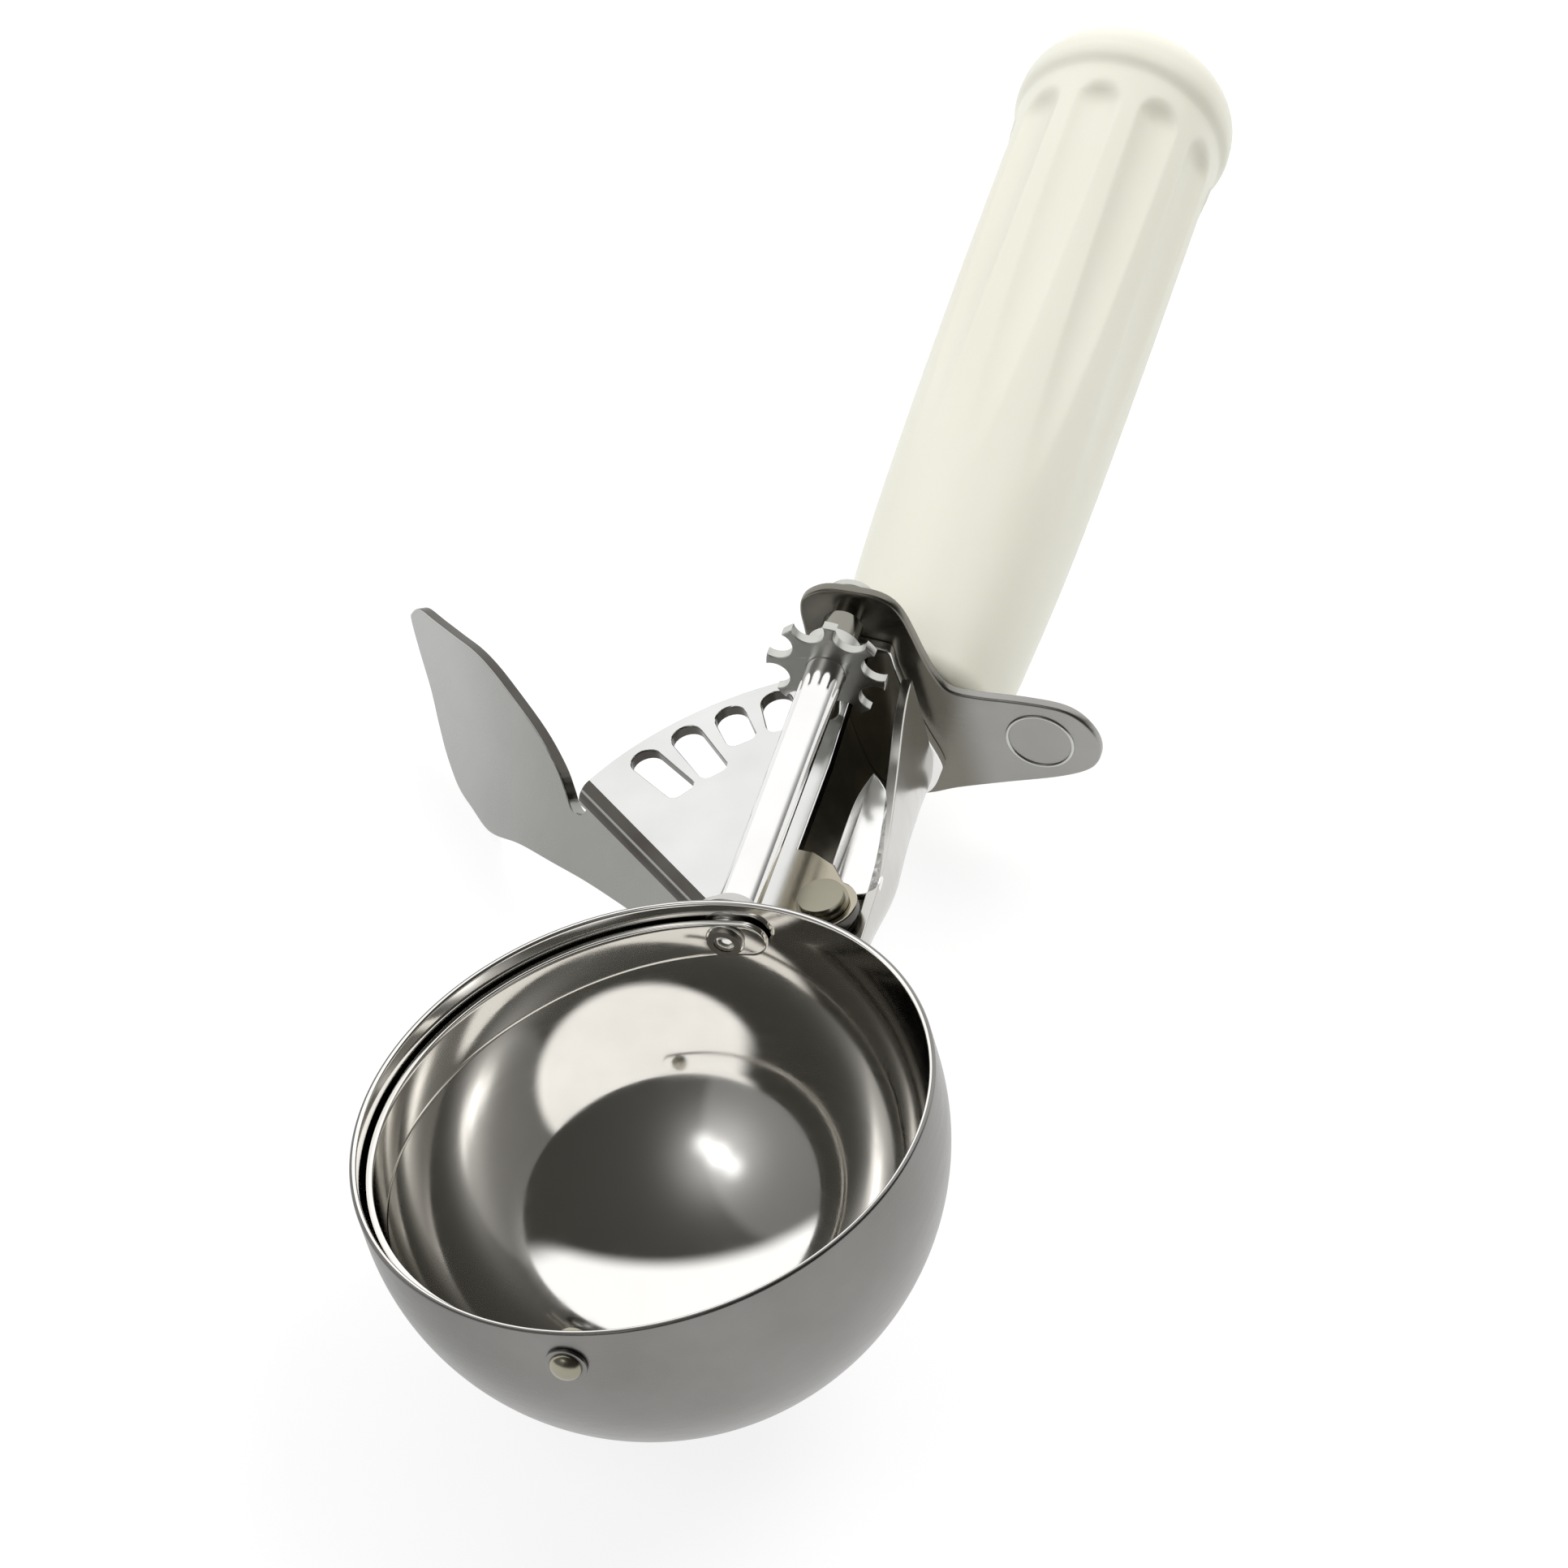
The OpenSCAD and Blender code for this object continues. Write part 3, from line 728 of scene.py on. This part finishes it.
# ---------------------------------------------------------------- thumb lever
# thumb tab, flat, along the fold and away from it
TAB = [
    (-1.4, 3.2), (1.5, 5.7), (13.7, 7.9), (21.9, 9.5), (29.3, 11.3), (36.7, 13.1), (41.7, 14.9),
    (44.4, 15.35), (47.8, 14.7), (51.5, 13.8), (55.1, 11.4), (58, 8.5), (60.7, 5.5), (64.6, 2.1),
    (67.3, -0.5), (67.4, -1.5), (65.9, -2.8), (62, -3.3), (57.1, -3.9), (53.2, -4.4),
    (49.5, -4.4), (45.1, -3.9), (36.9, -2.5), (31.5, -0.6), (28.8, 1.2), (27.6, 2.2),
    (26.2, 2.6), (24.8, 2), (24.1, 1.0),
]


def to_fold(point):
    """A point drawn about the pivot, measured along the fold (u) and away from it (v)."""
    along = Vector((math.cos(FOLD_DIR), math.sin(FOLD_DIR)))
    away = Vector((-math.sin(FOLD_DIR), math.cos(FOLD_DIR)))
    d = Vector(point) - FOLD_START
    return (d.dot(along), d.dot(away))


def plate_side():
    """The slotted plate's own edge, from the heel round to the fold's start."""
    arc = [round_point(PLATE_R, math.radians(a)) for a in spaced(TOE, HEEL, 40)]
    side = [(23, 5.5), (8.8, 5.5), (8.4, 3.4), (6.4, 0.4)]
    hub = [round_point(HUB_R, math.radians(a)) for a in range(-20, -200, -12)]
    corner = [(-3.4, 1.8), FOLD_START + Vector((-0.8, -0.7))]
    return [to_fold(p) for p in [*reversed(arc), *side, *hub, *corner]]


def slot_outline(i):
    """Slot with a round outer end and rounded inner corners; those nearest the toe are short."""
    half = SLOT_W / 2
    round_x = SLOT_OUT - half
    side = half * SLOT_TAPER
    bend_x = (SLOT_IN_SHORT if i < SHORT_SLOTS else SLOT_IN) + SLOT_CORNER
    corner = [
        (bend_x - SLOT_CORNER * math.cos(a), side - SLOT_CORNER + SLOT_CORNER * math.sin(a))
        for a in spaced(0, QUARTER, 5)
    ]
    shape = [(x, -y) for x, y in corner]
    shape += [
        (round_x + half * math.sin(a), -half * math.cos(a)) for a in spaced(0, math.pi, 12)
    ]
    shape += reversed(corner)
    turned = Matrix.Rotation(math.radians(SLOT_FIRST + i * SLOT_PITCH), 2)
    return [to_fold(turned @ Vector(p)) for p in shape]


def lever_outline():
    """Developed outline of plate and tab, and the slots."""
    shift = BEND_V + BEND_LENGTH - BEND_R * math.tan(FOLD / 2)
    tab = [(u, v + shift) for u, v in smooth_loop(TAB, closed=False, steps=5)]
    return [plate_side() + tab, *(slot_outline(i) for i in range(SLOTS))]


def beside_fold(u, v):
    """Is this place on the tab's free end, which rises flat past the end of the fold?"""
    return u > FREE_U and v > FREE_V


def lever_finish(face):
    """Material of a face: 0 plate, 1 tab, 2 painted shade: two dark lines along the fold for its
    shadow in the bend, and the cut edges made dark as painted reflection.

    Along is 0 where the bend starts and 1 where it ends.
    """
    middle = face.calc_center_median()
    along = (middle.y - BEND_V) / BEND_LENGTH
    free = beside_fold(middle.x, middle.y)
    # Material 2 is painted shade: the cut edges get a painted dark reflection, and two lines along
    # the fold get a painted shadow in the bend.
    cut = (along < 0 or free and along < 2) and abs(face.normal.z) < 0.6
    painted_line = not free and (0 <= along < 0.5 or 0.6 <= along < 1)
    if cut or painted_line:
        return 2
    return 0 if along < 0 and not free else 1


def folded(u, v, w):
    """Where a point of the flat sheet goes when the tab is bent down."""
    free = beside_fold(u, v)
    if v <= BEND_V and not free:
        return (u, v, w)
    phi = FOLD if free else min((v - BEND_V) / BEND_N, FOLD)
    beyond = v - BEND_V - BEND_N * phi
    radius = BEND_R + w
    return (
        u,
        BEND_V + radius * math.sin(phi) + beyond * math.cos(phi),
        -BEND_R + radius * math.cos(phi) - beyond * math.sin(phi),
    )


def lever_mesh():
    mesh = plate(lever_outline(), SHEET, edge=0.22)
    bm = bmesh.new()
    bm.from_mesh(mesh)
    for at in spaced(BEND_V, BEND_V + BEND_LENGTH, 10):
        everything = [*bm.verts, *bm.edges, *bm.faces]
        bmesh.ops.bisect_plane(
            bm, geom=everything, plane_co=(0, at, 0), plane_no=(0, 1, 0), dist=1e-5
        )
    for face in bm.faces:
        face.material_index = lever_finish(face)
    for vert in bm.verts:
        vert.co = folded(*vert.co)
    bm.to_mesh(mesh)
    bm.free()
    start = PIVOT + Vector((FOLD_START.x, FOLD_START.y, PLATE_BOTTOM))
    mesh.transform(Matrix.Translation(start) @ Matrix.Rotation(FOLD_DIR, 4, "Z"))
    return mesh


piece(
    "lever_sheet", lever_mesh(), "lever", [plate_steel_painted_reflection, tab_satin_painted_shade, painted_shade_steel],
    ["thumb_lever"], angle=30,
)


# ---------------------------------------------------------------- pinion
def pinion_mesh():
    """Disc with round gaps between its teeth, turned so that a tooth meets the first slot."""
    mesh_angle = math.degrees(math.atan(PIVOT_OFFSET / MESH_ARM))
    lead = (SLOT_FIRST - mesh_angle) * 360 / TEETH / SLOT_PITCH
    half = math.acos((PINION_R**2 + GAP_CENTRE**2 - GAP_R**2) / (2 * PINION_R * GAP_CENTRE))
    meet = math.acos((PINION_R**2 - GAP_CENTRE**2 - GAP_R**2) / (2 * GAP_CENTRE * GAP_R))
    loop = []
    for i in range(TEETH):
        at = math.radians(lead - 90 + (i + 0.5) * 360 / TEETH)
        for a in spaced(-meet, meet - TURN, 14):
            x, y = round_point(GAP_R, a)
            loop.append(tuple(Matrix.Rotation(at, 2) @ Vector((GAP_CENTRE + x, y))))
        for a in spaced(at + half, at + TURN / TEETH - half, 4, 1)[:-1]:
            loop.append(round_point(PINION_R, a))
    bore = [round_point(SHAFT_R, TURN * k / 40) for k in range(40)]
    return across_x(plate([loop, bore], PINION_T, edge=0.12), PINION_X - PINION_T / 2)


piece("toothed_pinion", pinion_mesh(), "blade", [pinion_steel], ["pinion"])


# ---------------------------------------------------------------- shaft, bushing, rivet, rings
def shaft_mesh():
    """Bar with a small tip through the blade's boss and a thinner journal in the flange."""
    c = 0.3
    end = WALL_FACE - 0.2 - LUG_BACK
    tail = FLANGE_BACK + 1.9 - LUG_BACK
    profile = [
        (0, -0.85), (TIP_R - 0.4, -0.8), (TIP_R, -0.6), (TIP_R, BLADE_T), (SHAFT_R - c, BLADE_T),
    ]
    profile += [(SHAFT_R, z) for z in spaced(BLADE_T + c, end - c, 12)]
    profile += [(SHAFT_R - c, end), (JOURNAL_R, end), (JOURNAL_R, tail - c)]
    profile += [
        (JOURNAL_R - c + c * math.cos(a), tail - c + c * math.sin(a))
        for a in spaced(0, QUARTER, 3, 1)
    ]
    profile.append((0, tail + 0.05))
    return along_x(lathe(profile, 64), LUG_BACK)


def bushing_mesh():
    """Collar pressed into the bowl round the shaft: radius beyond the shaft's, and height."""
    bore = 0.06
    sleeve = 0.8
    collar = 2.0
    steps = [
        (bore, -0.1), (sleeve, -0.1), (sleeve, BOWL_WALL), (collar - 0.15, BOWL_WALL),
        (collar, BOWL_WALL + 0.15), (collar, BOWL_WALL + 0.75), (collar - 0.15, BOWL_WALL + 0.9),
        (1.1, BOWL_WALL + 0.9), (0.85, BOWL_WALL + 1.1), (sleeve, BOWL_WALL + 1.4),
        (sleeve, BOWL_WALL + 2.3), (0.55, BOWL_WALL + 2.6), (bore, BOWL_WALL + 2.6), (bore, -0.1),
    ]
    return along_x(lathe([(SHAFT_R + r, z) for r, z in steps], 64), BOWL_IN)


def rivet_mesh():
    """Front pivot: domed head outside the bowl, shank, and a small knob inside the blade."""
    head_r = 1.9
    head_h = 1.3
    shank_r = 1.3
    knob_r = 2.1
    knob = RIVET_OUT - LUG_BACK + 0.2
    brow = knob + 0.8
    profile = [(0, 0)]
    profile += [
        (head_r * math.sin(a), head_h * (1 - math.cos(a))) for a in spaced(0, QUARTER, 10, 1)
    ]
    profile += [(shank_r, head_h), (shank_r, knob), (knob_r, knob), (knob_r, brow)]
    profile += [
        (knob_r * math.cos(a), brow + 0.8 * math.sin(a)) for a in spaced(0, QUARTER, 8, 1)
    ]
    return along_x(lathe(profile, 48), -RIVET_OUT)


def ring_at(x, radius, height, edge, bore):
    """Washer or collar round the shaft's axis, from x on."""
    return along_x(lathe(rounded(radius, 0, height, edge, bore), 48), x)


piece(
    "shaft_bar", shaft_mesh(), "blade", [shaft_steel_painted_shade], ["blade_shaft"], angle=40
)
piece(
    "shaft_bushing", bushing_mesh(), "frame", [fittings], ["bowl_bushing"],
    angle=30,
)
piece(
    "front_rivet", rivet_mesh(), "frame", [pivot_steel_painted_shade], ["front_pivot_pin"],
    angle=30,
)
washer = ring_at(-BOWL_R - 0.5, radius=2.4, height=0.5, edge=0.12, bore=1.3)
piece("front_rivet_washer", washer, "frame", [bowl_satin_painted_shade], ["front_washer"])
end_ring = ring_at(FLANGE_BACK + 0.2, radius=3.2, height=1.2, edge=0.3, bore=JOURNAL_R)
piece("shaft_end_ring", end_ring, "blade", [pinion_steel], ["shaft_end_washer"])
boss = ring_at(PINION_X + PINION_T / 2, radius=3.4, height=3.0, edge=0.3, bore=SHAFT_R)
piece("pinion_boss", boss, "blade", [pinion_steel], ["pinion_collar"])


# ---------------------------------------------------------------- neck
def neck_point(x, a, inset):
    """Point of the trough at x, at an angle from its right edge (0) to its left edge (pi)."""
    t = (x - BOWL_R) / (WALL_FACE - BOWL_R)
    right = soft_lookup(t, NECK_RIGHT)
    left = soft_lookup(t, NECK_LEFT)
    depth = soft_lookup(t, NECK_DEPTH)
    power = soft_lookup(t, NECK_ROUND)
    half = (left + right) / 2 - inset
    c = math.cos(a)
    return Vector((
        x,
        (left - right) / 2 - math.copysign(half * abs(c) ** power, c),
        NECK_TOP - (depth - inset) * abs(math.sin(a)) ** power,
    ))


def neck_column(a, inset, stations):
    """Points of the trough at one angle, from where it meets the bowl's pad to the end wall."""
    overlap = 0.6
    ball = BOWL_R + PAD_T - overlap
    end = WALL_FACE + 0.05
    x = BOWL_R - 6
    tries = 12
    for _ in range(tries):
        p = neck_point(x, a, inset)
        x = math.sqrt(max(ball**2 - p.y**2 - p.z**2, 1.0))
    return [neck_point(at, a, inset) for at in spaced(x, end, stations)]


def neck_mesh():
    """Trough of sheet steel, open above: outside material 2, inside material 1."""
    steps = 40
    stations = 60
    outside = [(a, 0.0) for a in spaced(0, math.pi, steps)]
    inside = [(a, NECK_SHEET) for a, _ in reversed(outside)]
    columns = [neck_column(a, inset, stations) for a, inset in outside + inside]
    verts, faces = grid([[column[k] for column in columns] for k in range(stations + 1)])
    m = len(columns)
    for base, flip in ((0, False), (stations * m, True)):
        for i in range(steps):
            quad = (base + i, base + i + 1, base + m - 2 - i, base + m - 1 - i)
            faces.append(tuple(reversed(quad)) if flip else quad)
    mesh = mesh_from(verts, faces)
    for k in range(stations * m):
        mesh.polygons[k].material_index = 1 if steps < k % m < m - 1 else 2
    return mesh


def neck_lip_mesh():
    """Flat edge turned inwards from the top of the neck's right wall, under the lever."""
    thickness = 1.0
    outline = [
        (68.3, -5.8), (64.6, -8.5), (60.1, -9.7), (50.9, -11.4), (48.6, -10.8), (48.0, -8.4),
        (48.4, -6.2), (50.6, -5.0), (57.0, -4.7), (63.7, -4.8),
    ]
    mesh = plate([smooth_loop(outline, sharp=(0,))], thickness, edge=0.2)
    mesh.transform(Matrix.Translation((0, 0, NECK_TOP - thickness)))
    return mesh


def end_wall_mesh():
    """Wall that closes the neck in front of the flange, with a straight top."""
    outline = [
        (0.8, -2.9), (-4.1, -4.4), (-4.6, -5.2), (-4.7, -9), (-5.6, -16.9), (-6.8, -22.5),
        (-6.4, -24.5), (-4, -27.8), (0.4, -28.4), (2.9, -25.5), (4.1, -19), (4.2, -9),
        (2.6, -5.2),
    ]
    wall = plate([smooth_loop(outline, sharp=(0, 1), steps=5)], WALL_T, edge=0.2)
    return across_x(wall, WALL_FACE)


neck = piece(
    "neck_trough", joined(neck_mesh(), neck_lip_mesh(), end_wall_mesh()), "frame",
    [polished, trough_steel, neck_steel_painted_shade], ["neck_channel"],
    angle=50, weighted=False,
)
round_edges(neck, width=0.3, segments=3)


# ---------------------------------------------------------------- bracket on the bowl
def pad_ring(r, ball, segments=96):
    """Ring of points about the pad's centre, on a sphere about the bowl's centre."""
    row = []
    for j in range(segments):
        across, down = round_point(r, TURN * j / segments)
        y = PAD_CENTRE.y + across
        z = PAD_CENTRE.z + down
        row.append((math.sqrt(ball**2 - y * y - z * z), y, z))
    return row


def bracket_mesh():
    """Curved pad that thins to its round edge, its back just inside the bowl's outer face."""
    rings = 14
    flatness = 6
    rows = []
    for k in range(rings + 1):
        lift = PAD_T * math.sqrt(max(1 - (k / rings) ** flatness, 0))
        rows.append(pad_ring(PAD_R * k / rings, BOWL_R - 0.02 + lift))
    rows += [pad_ring(r, BOWL_R - 0.1) for r in (PAD_R, PAD_R * 0.5, 0)]
    return mesh_from(*grid(rows))


piece(
    "bowl_pad", bracket_mesh(), "frame", [satin], ["bowl_bracket"],
    angle=60, weighted=False,
)

# ---------------------------------------------------------------- flange with the finger rest
FLANGE = [
    (5.9, 0.2), (5.2, 2.2), (3.6, 3.4), (1.6, 3.9), (-1.2, 3.5), (-4, 2.8), (-5.7, 1.6),
    (-6.7, -0.4), (-7.3, -3.4), (-7.9, -7.2), (-8.7, -10.4), (-9.9, -12.3), (-12.9, -13.2),
    (-18.7, -14), (-22.9, -15), (-25.1, -16.6), (-26.4, -19.1), (-26.6, -21.6),
    (-25.7, -23.7), (-23.8, -25.1), (-20, -26.2), (-13.7, -27.2), (-7.4, -28.3),
    (-3.6, -29.3), (0, -29.4), (4, -27.8), (6.4, -23.5), (7, -18), (6.6, -10), (6.1, -3),
]
flange_mesh = across_x(plate([smooth_loop(FLANGE, steps=5)], FLANGE_T, edge=0.35), FLANGE_FACE)
piece("flange_plate", flange_mesh, "frame", [flange_satin_painted_shade], ["end_flange"])


# ---------------------------------------------------------------- plain ring on the finger rest
def ring_mesh(radius, wire):
    """Thin round wire bent into a ring."""
    profile = [(radius + x, y) for x, y in (round_point(wire, TURN * k / 12) for k in range(13))]
    return lathe(profile, 72)


rest_ring = along_x(ring_mesh(radius=4.0, wire=0.22), FLANGE_FACE, y=-19.4, z=-20.1)
piece("finger_rest_ring", rest_ring, "frame", [pinion_steel])


# ---------------------------------------------------------------- handle
def handle_profile():
    """Radius and distance from the flange: rounded front, swelling body, rear bead and dome."""
    body = HANDLE_L - HANDLE_DOME - BEAD_L
    face = HANDLE_FRONT - FRONT_INSET
    points = [(0, 0), (face, 0)]
    points += [
        (face + FRONT_CURL * math.sin(a), FRONT_ROUND - FRONT_ROUND * math.cos(a))
        for a in spaced(0, QUARTER, 8, 1)
    ]
    for t in spaced(0, 1, 130, 5):
        radius = HANDLE_FRONT + (HANDLE_REAR - HANDLE_FRONT) * (1 - (1 - t) ** BODY_SWELL)
        points.append((radius, FRONT_ROUND + (body - FRONT_ROUND) * t))
    for t in spaced(0, 1, 6, 1):
        ease = 3 * t * t - 2 * t**3
        points.append((HANDLE_REAR + (BEAD_R - HANDLE_REAR) * ease, body + BEAD_RISE * t))
    for t in spaced(0, 1, 6, 1)[:-1]:
        crown = BEAD_CROWN * math.sin(math.pi * t)
        points.append((BEAD_R + crown, body + BEAD_RISE + (BEAD_L - BEAD_RISE) * t))
    points += [
        (BEAD_R * math.cos(a), body + BEAD_L + HANDLE_DOME * math.sin(a))
        for a in spaced(0, QUARTER, 20)[:-1]
    ]
    points.append((0, HANDLE_L))
    return points


def fluted(r, z, angle):
    """Radius of the handle at an angle, cut by the nearest flute, a groove with a round end."""
    start = HANDLE_L - FLUTE_END
    if r <= FLUTE_CORE or z >= start + FLUTE_R:
        return r
    pitch = 360 / FLUTES
    off = math.radians((math.degrees(angle) - FLUTE_PHASE + pitch / 2) % pitch - pitch / 2)
    reach = FLUTE_R if z <= start else math.sqrt(max(FLUTE_R**2 - (z - start) ** 2, 0))
    rise = max(start - z, 0) * math.tan(FLUTE_TILT)
    centre = HANDLE_REAR + FLUTE_R - FLUTE_DEPTH + rise
    under = reach**2 - (centre * math.sin(off)) ** 2
    if under <= 0:
        return r
    return smooth_min(r, centre * math.cos(off) - math.sqrt(under), FLUTE_BLEND)


def handle_mesh():
    segments = 360
    rows = []
    for r, z in handle_profile():
        turns = [TURN * j / segments for j in range(segments)]
        rows.append([(*round_point(fluted(r, z, a), a), z) for a in turns])
    return along_x(mesh_from(*grid(rows)), FLANGE_BACK, HANDLE_Y, HANDLE_Z)


piece(
    "ivory_handle", handle_mesh(), "frame", [ivory_plastic], ["handle_grip"],
    angle=60, weighted=False,
)

# ---------------------------------------------------------------- carried-over CAD nodes
FINISH = {
    "blade_rear_hub": dark_steel, "lever_bushing": pivot_steel_painted_shade, "lever_pivot_pin": pivot_steel_painted_shade,
    "lever_washer": pivot_steel_painted_shade, "return_spring": dark_steel, "spring_anchor": fittings,
    "handle_tang": fittings, "tang_lock_pin": fittings,
}
for name, finish in FINISH.items():
    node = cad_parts[name]
    node.data.materials.clear()
    node.data.materials.append(finish)
    if name != "return_spring":
        round_edges(node, width=0.15, segments=2)


# ---------------------------------------------------------------- table
def table():
    """White paper: a plain tone with a faint fibre, lifted close to white."""
    h = FLOOR_HALF
    mesh = mesh_from([(-h, -h, 0), (h, -h, 0), (h, h, 0), (-h, h, 0)], [(0, 1, 2, 3)])
    thing = bpy.data.objects.new("table", mesh)
    bpy.context.scene.collection.objects.link(thing)
    paper, tree, bsdf = new_material("white_table")
    bsdf.inputs["Roughness"].default_value = 0.9
    bsdf.inputs["Specular IOR Level"].default_value = 0.0
    fibre = noise(tree, tool_axes(tree), scale=40, detail=2)
    low = (FLOOR_TONE - 0.01,) * 3
    high = (FLOOR_TONE + 0.01,) * 3
    tree.links.new(ramp(tree, fibre, (0.3, low), (0.7, high)), bsdf.inputs["Base Color"])
    bsdf.inputs["Emission Color"].default_value = (1, 1, 1, 1)
    bsdf.inputs["Emission Strength"].default_value = FLOOR_LIFT
    mesh.materials.append(paper)
    return thing


table()


# ---------------------------------------------------------------- room
def towards(tree, aim, direction):
    """How squarely a ray looks in a direction: 1 straight at it, -1 straight away."""
    node = tree.nodes.new("ShaderNodeVectorMath")
    node.operation = "DOT_PRODUCT"
    node.inputs[1].default_value = Vector(direction).normalized()
    tree.links.new(aim, node.inputs[0])
    return node.outputs["Value"]


def glow(tree, aim, direction, width, strength):
    """Soft round light of the given half width in degrees."""
    falloff = 2 / math.radians(width) ** 2
    away = maths(tree, "SUBTRACT", towards(tree, aim, direction), 1.0)
    power = maths(tree, "MULTIPLY", away, falloff)
    return maths(tree, "MULTIPLY", maths(tree, "EXPONENT", power), strength)


def studio():
    """White wall, grey panel and lamps that the steel mirrors, and plain white behind it all."""
    world = bpy.data.worlds.new("studio")
    bpy.context.scene.world = world
    world.use_nodes = True
    tree = world.node_tree
    aim = tree.nodes.new("ShaderNodeTexCoord").outputs["Generated"]
    wall = softly(tree, towards(tree, aim, WALL_AT), *WALL_EDGE)
    corner = softly(tree, towards(tree, aim, CORNER_AT), *CORNER_EDGE)
    white = maths(tree, "MULTIPLY", wall, corner)
    room = ramp(tree, white, (0.0, ROOM_DARK), (1.0, ROOM_WHITE))
    light = softly(tree, towards(tree, aim, PANEL_AT), *PANEL_EDGE, PANEL_GREY)
    for direction, width, strength in GLOWS:
        light = maths(tree, "ADD", light, glow(tree, aim, direction, width, strength))
    lit = mixed(tree, "ADD", 1.0, room, light)
    seen = tree.nodes.new("ShaderNodeLightPath").outputs["Is Camera Ray"]
    shown = mixed(tree, "MIX", seen, lit, (1, 1, 1, 1))
    tree.links.new(shown, tree.nodes["Background"].inputs["Color"])


def soft_lamp(name, at, size, watts):
    """Large soft lamp that lights the plastic and the table and isn't mirrored in the steel."""
    lamp = bpy.data.lights.new(name, "AREA")
    lamp.shape = "DISK"
    lamp.size = size
    lamp.energy = watts
    holder = bpy.data.objects.new(name, lamp)
    holder.location = at
    holder.rotation_euler = (LAMP_AIM - Vector(at)).to_track_quat("-Z", "Y").to_euler()
    holder.visible_glossy = False
    bpy.context.scene.collection.objects.link(holder)


studio()
for lamp in LAMPS:
    soft_lamp(*lamp)

# ---------------------------------------------------------------- camera
camera_data = bpy.data.cameras.new("camera")
camera_data.sensor_width = SENSOR
camera_data.lens = SENSOR * FOCAL_PIXELS / PHOTO_PIXELS
camera_data.clip_start = 0.05
camera = bpy.data.objects.new("camera", camera_data)
facing = Matrix((CAMERA_RIGHT, CAMERA_UP, CAMERA_BACK)).transposed().to_4x4()
camera.matrix_world = Matrix.Translation(CAMERA_AT) @ facing
bpy.context.scene.collection.objects.link(camera)
bpy.context.scene.camera = camera
bpy.context.scene.view_settings.view_transform = "Standard"
